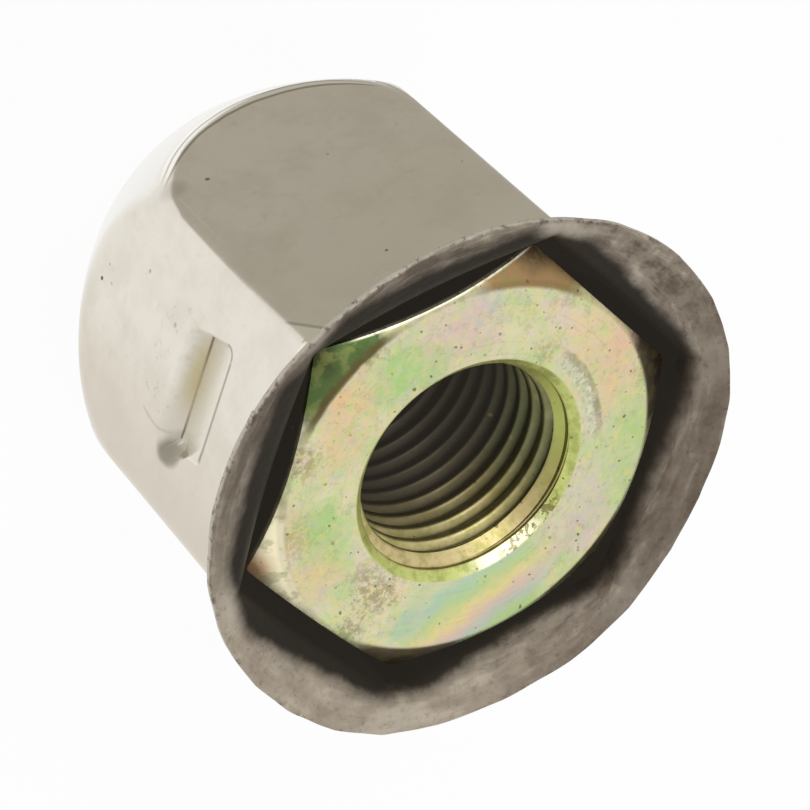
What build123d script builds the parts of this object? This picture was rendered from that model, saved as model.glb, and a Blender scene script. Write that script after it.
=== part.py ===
from build123d import *
import os
from math import cos, pi, radians, sin, tan

# Capped hex jam nut: a plated steel hex nut held in a drawn sheet cap.
# The part stands on the flat of its domed crown, at the origin, with the nut's mouth facing +Z.
# One staked flat of the cap faces -Y. All lengths are in millimetres and all angles in degrees.

# Thread: 1/2-20 UNF, bored to its minor diameter, with a short lead-in ring under the countersink
thread_minor_diameter = 11.50
lead_in_diameter = 12.56
lead_in_depth = 0.30
countersink_diameter = 13.56
countersink_angle = 45.0

# Hex nut
nut_across_flats = 22.225
nut_length = 16.0
nut_recess = 1.0
nut_face_diameter = 21.9
nut_chamfer_angle = 33.0
pocket_clearance = 0.05

# Cap: drawn sheet with a hex skirt
cap_height = 28.7
cap_across_flats = 25.4
cap_wall = 0.70
cap_corner_radius = 1.20

# Cap: dome and crown. The dome springs from a circle outside the skirt's corners.
dome_margin = 1.80
dome_depth = 21.9
crown_radius = 7.25
crown_flat_radius = 4.6
flat_blend_radius = 0.80

# Cap: flange round the mouth
flange_radius = 15.49
flange_dish_angle = 15.0
flange_bend_radius = 0.60

# The trimmed rim isn't quite round. Each lobe is (waves round the rim, height, direction).
rim_lobes = (
    (1, 0.22, 15.0),
    (2, 0.20, -47.0),
    (3, 0.11, 26.0),
    (4, 0.02, -10.0),
    (5, 0.05, -20.0),
    (6, 0.03, -8.0),
    (7, 0.04, 0.0),
)
rim_points = 48

# Stakes: lopsided V dents pressed into every other flat, until they bite the nut
stake_count = 3
stake_length = 7.2
stake_offset = -0.2
stake_flange_ramp = 3.5
stake_dome_ramp = 0.8
stake_crease_depth = 10.15
stake_end_inset = 0.5
stake_bite = 0.10

# Worked out from the sizes above
hex_sides = 6
corner_ratio = 1 / cos(pi / hex_sides)
dome_base_radius = cap_across_flats / 2 * corner_ratio + dome_margin
nut_top = cap_height - nut_recess
nut_bottom = nut_top - nut_length
cap_inner_flats = cap_across_flats - 2 * cap_wall
stake_depth = (cap_inner_flats - nut_across_flats) / 2 + stake_bite
crease_height = cap_height - stake_crease_depth
sheet_rise = cap_wall / cos(radians(flange_dish_angle))
overrun = 2.0


def hex_prism(across_flats, bottom, top, corner_radius=0.0):
    """A hex bar along Z with a flat on -Y and, if asked, rounded corners."""
    outline = RegularPolygon(across_flats / 2, hex_sides, major_radius=False, rotation=0)
    if corner_radius > 0:
        outline = fillet(outline.vertices(), corner_radius)
    return Pos(0, 0, bottom) * extrude(outline, top - bottom)


def turned(*outline):
    """A solid turned about Z from a closed outline of (radius, height) points."""
    return revolve(Plane.YZ * make_face(Polyline(*outline, close=True)), Axis.Z)


def dome_form(inset):
    """The turned form of the dome and crown, moved inwards by a sheet thickness."""
    run = dome_base_radius - crown_flat_radius
    rise = dome_depth - crown_radius
    shoulder_radius = (run**2 + rise**2 - crown_radius**2) / (2 * (run - crown_radius))
    shoulder_centre = Vector(dome_base_radius - shoulder_radius, dome_depth)
    crown_centre = Vector(crown_flat_radius, crown_radius)
    to_meeting = (crown_centre - shoulder_centre).normalized()
    to_shoulder_middle = (to_meeting + Vector(1, 0)).normalized()
    to_crown_middle = (to_meeting + Vector(0, -1)).normalized()

    flat_end = (crown_flat_radius, inset)
    crown_middle = crown_centre + to_crown_middle * (crown_radius - inset)
    meeting = crown_centre + to_meeting * (crown_radius - inset)
    shoulder_middle = shoulder_centre + to_shoulder_middle * (shoulder_radius - inset)
    spring = (dome_base_radius - inset, dome_depth)
    top = cap_height + overrun

    outline = Wire([
        Line((0, inset), flat_end),
        ThreePointArc(flat_end, crown_middle, meeting),
        ThreePointArc(meeting, shoulder_middle, spring),
        Line(spring, (spring[0], top)),
        Line((spring[0], top), (0, top)),
        Line((0, top), (0, inset)),
    ])
    return revolve(Plane.YZ * make_face(outline), Axis.Z)


def dish_height(radius):
    """Height of the flange's upper surface at a radius."""
    return cap_height - (flange_radius - radius) * tan(radians(flange_dish_angle))


def rim_outline():
    """The slightly uneven outline that the flange is trimmed to."""
    points = []
    for step in range(rim_points):
        turn = 2 * pi * step / rim_points
        radius = flange_radius
        for waves, height, direction in rim_lobes:
            radius += height * cos(waves * (turn - radians(direction)))
        points.append((radius * cos(turn), radius * sin(turn)))
    return make_face(Spline(*points, periodic=True))


def stake_wedge(length, depth):
    """A roof-shaped wedge: its base lies on XZ at y = 0 and its ridge, along X, at y = depth."""
    ramps = Polyline((0, -stake_dome_ramp), (0, stake_flange_ramp), (depth, 0), close=True)
    across = extrude(Plane.YZ * make_face(ramps), length / 2, both=True)
    half_length = length / 2
    half_ridge = half_length - stake_end_inset
    ends = Polyline(
        (-half_length, 0), (half_length, 0), (half_ridge, depth), (-half_ridge, depth), close=True
    )
    along = extrude(make_face(ends), stake_flange_ramp + stake_dome_ramp, both=True)
    return across & along


def on_staked_flats(solid, across_flats):
    """Copies of a wedge on every other flat, starting with the one that faces -Y."""
    placed = Pos(stake_offset, -across_flats / 2, crease_height) * solid
    return [Rot(0, 0, 360 / stake_count * index) * placed for index in range(stake_count)]


def hex_nut():
    """The steel nut: a chamfered hex with a bore, countersinks and stake pockets."""
    face_radius = nut_face_diameter / 2
    reach = nut_across_flats
    drop = (reach - face_radius) * tan(radians(nut_chamfer_angle))
    blank = hex_prism(nut_across_flats, nut_bottom, nut_top)
    blank &= turned(
        (0, nut_bottom), (face_radius, nut_bottom), (reach, nut_bottom + drop),
        (reach, nut_top - drop), (face_radius, nut_top), (0, nut_top),
    )

    bore_radius = thread_minor_diameter / 2
    mouth_radius = countersink_diameter / 2
    lead_in_radius = lead_in_diameter / 2
    slope = tan(radians(countersink_angle))
    mouth_depth = (mouth_radius - lead_in_radius) * slope
    ring_bottom = nut_top - mouth_depth - lead_in_depth
    tail_depth = (mouth_radius - bore_radius) * slope
    hole = turned(
        (0, nut_bottom - overrun), (mouth_radius, nut_bottom - overrun), (mouth_radius, nut_bottom),
        (bore_radius, nut_bottom + tail_depth),
        (bore_radius, ring_bottom - (lead_in_radius - bore_radius) * slope),
        (lead_in_radius, ring_bottom), (lead_in_radius, nut_top - mouth_depth),
        (mouth_radius, nut_top), (mouth_radius, nut_top + overrun), (0, nut_top + overrun),
    )
    pocket = stake_wedge(stake_length + 2 * pocket_clearance, stake_depth)
    pockets = on_staked_flats(Pos(0, pocket_clearance, 0) * pocket, cap_inner_flats)
    return blank - hole - pockets


def skirt_and_dome(inset):
    """The closed hex form of the cap without its flange, moved inwards by a sheet thickness."""
    skirt = hex_prism(
        cap_across_flats - 2 * inset, 0, cap_height + overrun, cap_corner_radius - inset
    )
    return skirt & dome_form(inset)


def dish(lower, upper):
    """A shallow cone-shaped plate between two offsets from the flange's upper surface."""
    reach = flange_radius + overrun
    return turned(
        (0, dish_height(0) + lower), (reach, dish_height(reach) + lower),
        (reach, dish_height(reach) + upper), (0, dish_height(0) + upper),
    )


def edges_inside(solid, low, high, reach):
    """The edges whose middles lie between two heights and within a radius of Z."""
    found = []
    for edge in solid.edges():
        middle = edge.center()
        if low < middle.Z < high and Vector(middle.X, middle.Y).length < reach:
            found.append(edge)
    return found


def bent_out(form, across_flats, offset, radius):
    """Rounds the corner where a hex form meets a plate offset from the flange's upper surface."""
    at_flats = dish_height(across_flats / 2) + offset
    at_corners = dish_height(across_flats / 2 * corner_ratio) + offset
    slack = sheet_rise / 2
    bend = edges_inside(form, at_flats - slack, at_corners + slack, across_flats / 2 * corner_ratio)
    return fillet(bend, radius)


def cap_outside():
    """The cap's outer form: crown, skirt and, after a bend, the underside of the flange."""
    hub = skirt_and_dome(0)
    blend = edges_inside(hub, crown_radius, dome_depth, cap_across_flats)
    hub = fillet(blend, flat_blend_radius) - dish(-sheet_rise / 2, cap_height)
    plate = dish(-sheet_rise, 0)
    form = bent_out(hub + plate, cap_across_flats, -sheet_rise, flange_bend_radius)
    return form - on_staked_flats(stake_wedge(stake_length, stake_depth), cap_across_flats)


def cap_inside():
    """The space inside the cap, with the bend up to the flange's dished upper surface."""
    room = skirt_and_dome(cap_wall) + dish(0, cap_height)
    form = bent_out(room, cap_inner_flats, 0, flange_bend_radius + cap_wall)
    return form - on_staked_flats(stake_wedge(stake_length, stake_depth), cap_inner_flats)


def cap():
    """The drawn sheet cap, staked and trimmed to its uneven rim."""
    sheet = cap_outside() - cap_inside()
    return sheet & extrude(rim_outline(), cap_height + overrun)


def main():
    """Build both pieces and write one STEP file for each."""
    os.makedirs("parts", exist_ok=True)
    export_step(hex_nut(), "parts/hex_nut.step")
    export_step(cap(), "parts/cap.step")


if __name__ == "__main__":
    main()
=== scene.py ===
"""A capped hex jam nut: a yellow-plated hex nut staked inside a drawn stainless sheet cap."""
import logging
from contextlib import contextmanager
from dataclasses import dataclass
from enum import Enum
from functools import partialmethod
from math import atan2, cos, hypot, pi, radians, sin, sqrt, tan
from typing import Callable, Iterator, Sequence, Union

import bmesh
import bpy
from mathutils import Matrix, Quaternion, Vector, noise


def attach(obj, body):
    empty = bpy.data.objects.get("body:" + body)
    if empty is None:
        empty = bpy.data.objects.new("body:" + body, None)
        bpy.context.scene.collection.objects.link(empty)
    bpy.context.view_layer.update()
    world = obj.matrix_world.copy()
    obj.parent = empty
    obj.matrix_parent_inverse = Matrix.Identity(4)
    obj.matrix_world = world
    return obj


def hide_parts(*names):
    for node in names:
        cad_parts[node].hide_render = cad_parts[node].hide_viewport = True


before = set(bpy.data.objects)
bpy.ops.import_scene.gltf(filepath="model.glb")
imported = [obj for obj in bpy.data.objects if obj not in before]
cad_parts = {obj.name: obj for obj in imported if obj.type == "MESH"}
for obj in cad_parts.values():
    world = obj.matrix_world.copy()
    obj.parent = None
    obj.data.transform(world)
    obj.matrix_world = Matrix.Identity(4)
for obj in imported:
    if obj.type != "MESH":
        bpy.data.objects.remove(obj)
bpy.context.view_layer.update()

MM = 0.001
FULL_TURN = 2 * pi
HEX_SIDES = 6
SIDE_TURN = FULL_TURN / HEX_SIDES
STAKE_COUNT = 3
WELD = 1e-4
FINE_WELD = 1e-5
BLACK = (0.0, 0.0, 0.0)
CLOUD_STEP = (17.3, -9.1, 5.7)
SPECK_STEP = (3.1, 7.7, -4.3)

log = logging.getLogger("capped_nut")

Point2 = tuple[float, float]
Point3 = tuple[float, float, float]
Colour = tuple[float, float, float]


class Plating(Enum):
    """The material slots of the record."""

    YELLOW_ZINC = "yellow_zinc_steel"
    STAINLESS = "stainless_sheet"


def srgb(red: int, green: int, blue: int) -> Colour:
    """Linear colour of an 8-bit display colour.

    Args:
        red: Red from 0 to 255.
        green: Green from 0 to 255.
        blue: Blue from 0 to 255.

    Returns:
        The three linear components.
    """
    def linear(level: int) -> float:
        """One linear component."""
        share = level / 255
        return share / 12.92 if share <= 0.04045 else ((share + 0.055) / 1.055) ** 2.4

    return (linear(red), linear(green), linear(blue))


# ----------------------------------------------------------------------------
# Modelling helpers. Pieces are modelled in millimetres and shrunk to metres last.
# ----------------------------------------------------------------------------

def choose(piece: bpy.types.Object) -> None:
    """Selects one piece alone and makes it the active object.

    Args:
        piece: The object.
    """
    bpy.ops.object.select_all(action="DESELECT")
    piece.select_set(True)
    bpy.context.view_layer.objects.active = piece


def settle(piece: bpy.types.Object) -> None:
    """Applies a piece's own place, turn and scale to its mesh."""
    choose(piece)
    bpy.ops.object.transform_apply(location=True, rotation=True, scale=True)


def added(add: Callable[..., object], name: str, **settings: object) -> bpy.types.Object:
    """Adds a mesh object with nothing else selected, and names it.

    Args:
        add: One of Blender's operators that add a mesh.
        name: The new object's name.
        settings: What the operator takes.

    Returns:
        The new object.
    """
    bpy.ops.object.select_all(action="DESELECT")
    add(**settings)
    piece = bpy.context.active_object
    piece.name = name
    return piece


@contextmanager
def editing(piece: bpy.types.Object) -> Iterator[None]:
    """Edit mode on one piece, with nothing selected at the start.

    Args:
        piece: The mesh object to edit.
    """
    choose(piece)
    bpy.ops.object.mode_set(mode="EDIT")
    bpy.ops.mesh.select_all(action="DESELECT")
    try:
        yield
    finally:
        bpy.ops.object.mode_set(mode="OBJECT")


def select(piece: bpy.types.Object, kind: str, test: Callable[..., bool]) -> None:
    """Selects the vertices or edges that pass a test, inside edit mode.

    Args:
        piece: The mesh object in edit mode.
        kind: VERT or EDGE.
        test: Takes the place of a vertex, or the two end points of an edge.
    """
    bpy.ops.mesh.select_mode(type=kind)
    mesh = bmesh.from_edit_mesh(piece.data)
    if kind == "EDGE":
        for edge in mesh.edges:
            edge.select_set(test(edge.verts[0].co, edge.verts[1].co))
    else:
        for vertex in mesh.verts:
            vertex.select_set(test(vertex.co))
    bmesh.update_edit_mesh(piece.data)


def with_modifier(piece: bpy.types.Object, kind: str, **settings: object) -> None:
    """Adds a modifier with settings and applies it.

    Args:
        piece: The mesh object.
        kind: The modifier's type.
        settings: Values of the modifier's properties.
    """
    choose(piece)
    modifier = piece.modifiers.new(kind.lower(), kind)
    for name, value in settings.items():
        setattr(modifier, name, value)
    bpy.ops.object.modifier_apply(modifier=modifier.name)


def combine(piece: bpy.types.Object, tool: bpy.types.Object, operation: str) -> None:
    """Cuts a piece by another or keeps what both share, then removes the other.

    Args:
        piece: The mesh object that stays.
        tool: The mesh object that is used up.
        operation: DIFFERENCE or INTERSECT.
    """
    with_modifier(piece, "BOOLEAN", object=tool, operation=operation, solver="EXACT")
    bpy.data.objects.remove(tool, do_unlink=True)


def close_up(piece: bpy.types.Object, gap: float) -> None:
    """Merges doubled vertices and turns every face outwards.

    Args:
        piece: The mesh object.
        gap: Vertices nearer than this become one.
    """
    with editing(piece):
        bpy.ops.mesh.select_all(action="SELECT")
        bpy.ops.mesh.remove_doubles(threshold=gap)
        bpy.ops.mesh.normals_make_consistent(inside=False)


def to_frame(piece: bpy.types.Object) -> None:
    """Shrinks a piece from millimetres to metres and leaves its object untransformed."""
    piece.scale = (MM, MM, MM)
    settle(piece)


def arc(centre: Point2, radius: float, start: float, end: float, steps: int) -> list[Point2]:
    """Points along an arc.

    Args:
        centre: The arc's centre.
        radius: The arc's radius.
        start: Start angle in radians.
        end: End angle in radians.
        steps: Number of segments.

    Returns:
        The points, both ends included.
    """
    turns = [start + (end - start) * step / steps for step in range(steps + 1)]
    return [(centre[0] + radius * cos(turn), centre[1] + radius * sin(turn)) for turn in turns]


def along(start: Point2, end: Point2, shares: Sequence[float]) -> list[Point2]:
    """Points on a straight run at given shares of its length.

    Args:
        start: The run's first point.
        end: The run's last point.
        shares: Places on the run, from 0 to 1.

    Returns:
        One point for each share.
    """
    return [
        (start[0] + (end[0] - start[0]) * share, start[1] + (end[1] - start[1]) * share)
        for share in shares
    ]


def turned(name: str, outline: Sequence[Point2], segments: int) -> bpy.types.Object:
    """A turned solid: a disc extruded and resized from step to step.

    Args:
        name: The new object's name.
        outline: (radius, height) steps from the bottom disc to the top disc.
        segments: Number of segments round the axis.

    Returns:
        The closed mesh object.
    """
    radius, height = outline[0]
    solid = added(
        bpy.ops.mesh.primitive_circle_add, name, vertices=segments, radius=radius,
        fill_type="NGON", location=(0, 0, height),
    )
    settle(solid)
    with editing(solid):
        bpy.ops.mesh.select_all(action="SELECT")
        for next_radius, next_height in outline[1:]:
            rise = (0, 0, next_height - height)
            bpy.ops.mesh.extrude_region_move(TRANSFORM_OT_translate={"value": rise})
            ratio = next_radius / radius
            bpy.ops.transform.resize(
                value=(ratio, ratio, 1), center_override=(0, 0, next_height)
            )
            radius, height = next_radius, next_height
    close_up(solid, FINE_WELD)
    return solid


# ----------------------------------------------------------------------------
# Paint: a small language for node trees
# ----------------------------------------------------------------------------

class Wire:
    """An output socket that takes part in Python arithmetic."""

    def __init__(self, shader: "Shader", socket: bpy.types.NodeSocket) -> None:
        """Keeps the socket and the tree that it belongs to."""
        self.shader = shader
        self.socket = socket

    def _with(self, operation: str, first: "Value", second: "Value") -> "Wire":
        """One Math node on two values."""
        return self.shader.node("ShaderNodeMath", {"operation": operation}, {0: first, 1: second})

    def _forwards(self, operation: str, second: "Value") -> "Wire":
        """One Math node with the other value on the right."""
        return self._with(operation, self, second)

    def _backwards(self, operation: str, first: "Value") -> "Wire":
        """One Math node with the other value on the left."""
        return self._with(operation, first, self)

    def __abs__(self) -> "Wire":
        """Size without its sign."""
        return self._with("ABSOLUTE", self, 0.0)

    def beside(self, other: "Wire") -> "Wire":
        """Length of the diagonal of this and another distance square to it."""
        return (self * self + other * other) ** 0.5

    __add__ = partialmethod(_forwards, "ADD")
    __radd__ = partialmethod(_backwards, "ADD")
    __sub__ = partialmethod(_forwards, "SUBTRACT")
    __rsub__ = partialmethod(_backwards, "SUBTRACT")
    __mul__ = partialmethod(_forwards, "MULTIPLY")
    __rmul__ = partialmethod(_backwards, "MULTIPLY")
    __truediv__ = partialmethod(_forwards, "DIVIDE")
    __pow__ = partialmethod(_forwards, "POWER")
    most = partialmethod(_forwards, "MAXIMUM")
    least = partialmethod(_forwards, "MINIMUM")


Value = Union[Wire, float, int, Sequence[float]]


class Shader:
    """A tree of shader nodes."""

    def __init__(self, tree: bpy.types.NodeTree) -> None:
        """Takes over a tree."""
        self.tree = tree

    def node(
        self, kind: str, settings: dict[str, object], values: dict[Union[int, str], Value],
        output: Union[int, str] = 0,
    ) -> Wire:
        """Adds a node.

        Args:
            kind: The node's type.
            settings: Its settings, set first. The stops of a ramp are (place, colour) pairs.
            values: A number, colour or wire for each input socket.
            output: The output socket that is wanted.

        Returns:
            The output as a wire.
        """
        node = self.tree.nodes.new(kind)
        for name, setting in settings.items():
            if name == "stops":
                self._set_stops(node.color_ramp, setting)
            else:
                setattr(node, name, setting)
        for socket, value in values.items():
            self.feed(node.inputs[socket], value)
        return Wire(self, node.outputs[output])

    @staticmethod
    def _set_stops(ramp: bpy.types.ColorRamp, stops: Sequence[tuple[float, Colour]]) -> None:
        """Sets a ramp's stops.

        Args:
            ramp: The ramp.
            stops: A place and a colour for each.
        """
        while len(ramp.elements) < len(stops):
            ramp.elements.new(1.0)
        for element, (place, colour) in zip(ramp.elements, stops):
            element.position = place
            element.color = (*colour, 1.0)

    def feed(self, socket: bpy.types.NodeSocket, value: Value) -> None:
        """Gives an input socket a wire, a number or a colour.

        Args:
            socket: The input socket.
            value: What it gets.
        """
        if isinstance(value, Wire):
            self.tree.links.new(value.socket, socket)
        elif isinstance(value, (int, float)):
            socket.default_value = value
        elif len(value) < len(socket.default_value):
            socket.default_value = (*value, 1.0)
        else:
            socket.default_value = value

    def seen(self) -> Wire:
        """Tells rays that show a surface from those that only light one.

        Returns:
            1 for camera, glossy and transmission rays.
        """
        camera, glossy, through = (
            self.node("ShaderNodeLightPath", {}, {}, f"Is {kind} Ray")
            for kind in ("Camera", "Glossy", "Transmission")
        )
        return camera.most(glossy).most(through)


class Paint(Shader):
    """The node tree of one material, in millimetres on the piece's own coordinates."""

    def __init__(self, name: str) -> None:
        """Makes the material and its coordinate wires.

        Args:
            name: The material's name.
        """
        self.material = bpy.data.materials.new(name)
        self.material.use_nodes = True
        self.material.cycles.emission_sampling = "NONE"
        super().__init__(self.material.node_tree)
        self.surface = self.tree.nodes["Principled BSDF"]
        place = self.node("ShaderNodeTexCoord", {}, {}, "Object")
        self.place = self.node(
            "ShaderNodeVectorMath", {"operation": "SCALE"}, {0: place, "Scale": 1 / MM}
        )
        self.x, self.y, self.z = (
            self.node("ShaderNodeSeparateXYZ", {}, {0: self.place}, axis) for axis in "XYZ"
        )
        self.radius = self.x.beside(self.y)
        self.colour: Value = BLACK

    def dress(self, name: str, value: Value) -> None:
        """Sets a socket of the surface shader."""
        self.feed(self.surface.inputs[name], value)

    def finish(self, shader: Wire) -> None:
        """Makes a shader the material's surface."""
        self.feed(self.tree.nodes["Material Output"].inputs["Surface"], shader)

    def mix(self, share: Value, first: Value, second: Value) -> Wire:
        """A colour between two colours.

        Args:
            share: 0 for the first colour, 1 for the second.
            first: A colour.
            second: A colour.

        Returns:
            The mixed colour.
        """
        return self.node(
            "ShaderNodeMix", {"data_type": "RGBA"}, {0: share, 6: first, 7: second}, 2
        )

    def cover(self, share: Value, tint: Value) -> None:
        """Lays a share of another colour over the colour so far."""
        self.colour = self.mix(share, self.colour, tint)

    def rise(self, value: Value, low: float, high: float) -> Wire:
        """A soft step.

        Args:
            value: What is tested.
            low: Where the step starts, as 0.
            high: Where it ends, as 1. It may be below low.

        Returns:
            0 to 1.
        """
        step = self.node("ShaderNodeMapRange", {"interpolation_type": "SMOOTHSTEP"}, {
            "Value": value, "From Min": min(low, high), "From Max": max(low, high),
        })
        return 1.0 - step if low > high else step

    def band(self, value: Wire, middle: float, half_width: float, soft: float) -> Wire:
        """1 within a band of values and 0 outside it.

        Args:
            value: What is tested.
            middle: The band's middle.
            half_width: Half of the band's width.
            soft: Width of its soft edges.

        Returns:
            0 to 1.
        """
        return self.rise(abs(value - middle), half_width + soft, half_width)

    def away(self, middle: Point2, x: Value = None, y: Value = None) -> Wire:
        """Distance from a point, seen along Z.

        Args:
            middle: The point.
            x: First coordinate, or None for the plain one.
            y: Second coordinate, or None for the plain one.

        Returns:
            The distance in millimetres.
        """
        off_x = (self.x if x is None else x) - middle[0]
        return off_x.beside((self.y if y is None else y) - middle[1])

    def read(self, name: str) -> Wire:
        """A number kept on the mesh under a name."""
        return self.node("ShaderNodeAttribute", {"attribute_name": name}, {}, "Fac")

    def shifted(self, seed: float, step: Point3) -> Wire:
        """The coordinates, moved by a number of steps."""
        offset = [seed * part for part in step]
        return self.node("ShaderNodeMapping", {}, {"Vector": self.place, "Location": offset})

    def cloud(
        self, size: float, detail: float, grain: float, seed: float, twist: float = 0.0
    ) -> Wire:
        """Noise whose lumps are about a size across.

        Args:
            size: Size of the lumps in millimetres.
            detail: Number of finer layers.
            grain: Strength of the finer layers.
            seed: Moves the pattern.
            twist: Distortion.

        Returns:
            0 to 1.
        """
        return self.node("ShaderNodeTexNoise", {}, {
            "Vector": self.shifted(seed, CLOUD_STEP), "Scale": 1 / size, "Detail": detail,
            "Roughness": grain, "Distortion": twist,
        })

    def specks(self, spacing: float, size: float, share: float, seed: float) -> Wire:
        """Scattered small round specks.

        Args:
            spacing: Mean distance between places where a speck may lie.
            size: Radius of the largest specks in millimetres.
            share: Share of the places that have one.
            seed: Moves the pattern.

        Returns:
            1 inside a speck.
        """
        wobble = self.cloud(size * 1.6, 1.0, 0.5, seed + 3.0)
        where = self.node("ShaderNodeVectorMath", {"operation": "MULTIPLY_ADD"}, {
            0: self.node("ShaderNodeCombineXYZ", {}, {0: wobble, 1: wobble, 2: wobble}),
            1: (size * 1.4,) * 3, 2: self.shifted(seed, SPECK_STEP),
        })
        cells = {"Vector": where, "Scale": 1 / spacing, "Randomness": 1.0}
        nearest = self.node("ShaderNodeTexVoronoi", {}, cells, "Distance")
        chance = self.node(
            "ShaderNodeSeparateColor", {},
            {0: self.node("ShaderNodeTexVoronoi", {}, cells, "Color")}, 0
        )
        scale = self.node("ShaderNodeMapRange", {}, {
            "Value": chance, "From Min": 1 - share, "From Max": 1.0, "To Min": 0.0, "To Max": 1.0,
        })
        edge = scale * (size / spacing)
        return self.rise(edge - nearest, 0.0, 0.35 * size / spacing)

    def glow(self, share: Wire, colour: Colour) -> None:
        """A faint light of the surface's own, which keeps dark hollows from going black."""
        self.dress("Emission Color", self.mix(share, BLACK, colour))
        self.dress("Emission Strength", 1.0)

    def bump(self, height: Wire, depth: float) -> None:
        """Gives the surface a relief.

        Args:
            height: The relief, from 0 to 1.
            depth: Its depth in millimetres.
        """
        self.dress("Normal", self.node("ShaderNodeBump", {}, {
            "Height": height, "Distance": depth * MM, "Strength": 1.0,
        }))


# ----------------------------------------------------------------------------
# Finishes
# ----------------------------------------------------------------------------

@dataclass(frozen=True)
class Tint:
    """A soft patch of interference colour on the nut's face."""

    colour: Colour
    x: float
    y: float
    reach: float


@dataclass(frozen=True)
class CornerTint:
    """Colour of one corner's chamfer and of its outer tip; on corners that face away from the
    light it is painted shade.
    """

    direction: float
    colour: Colour
    tip: Colour


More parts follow.
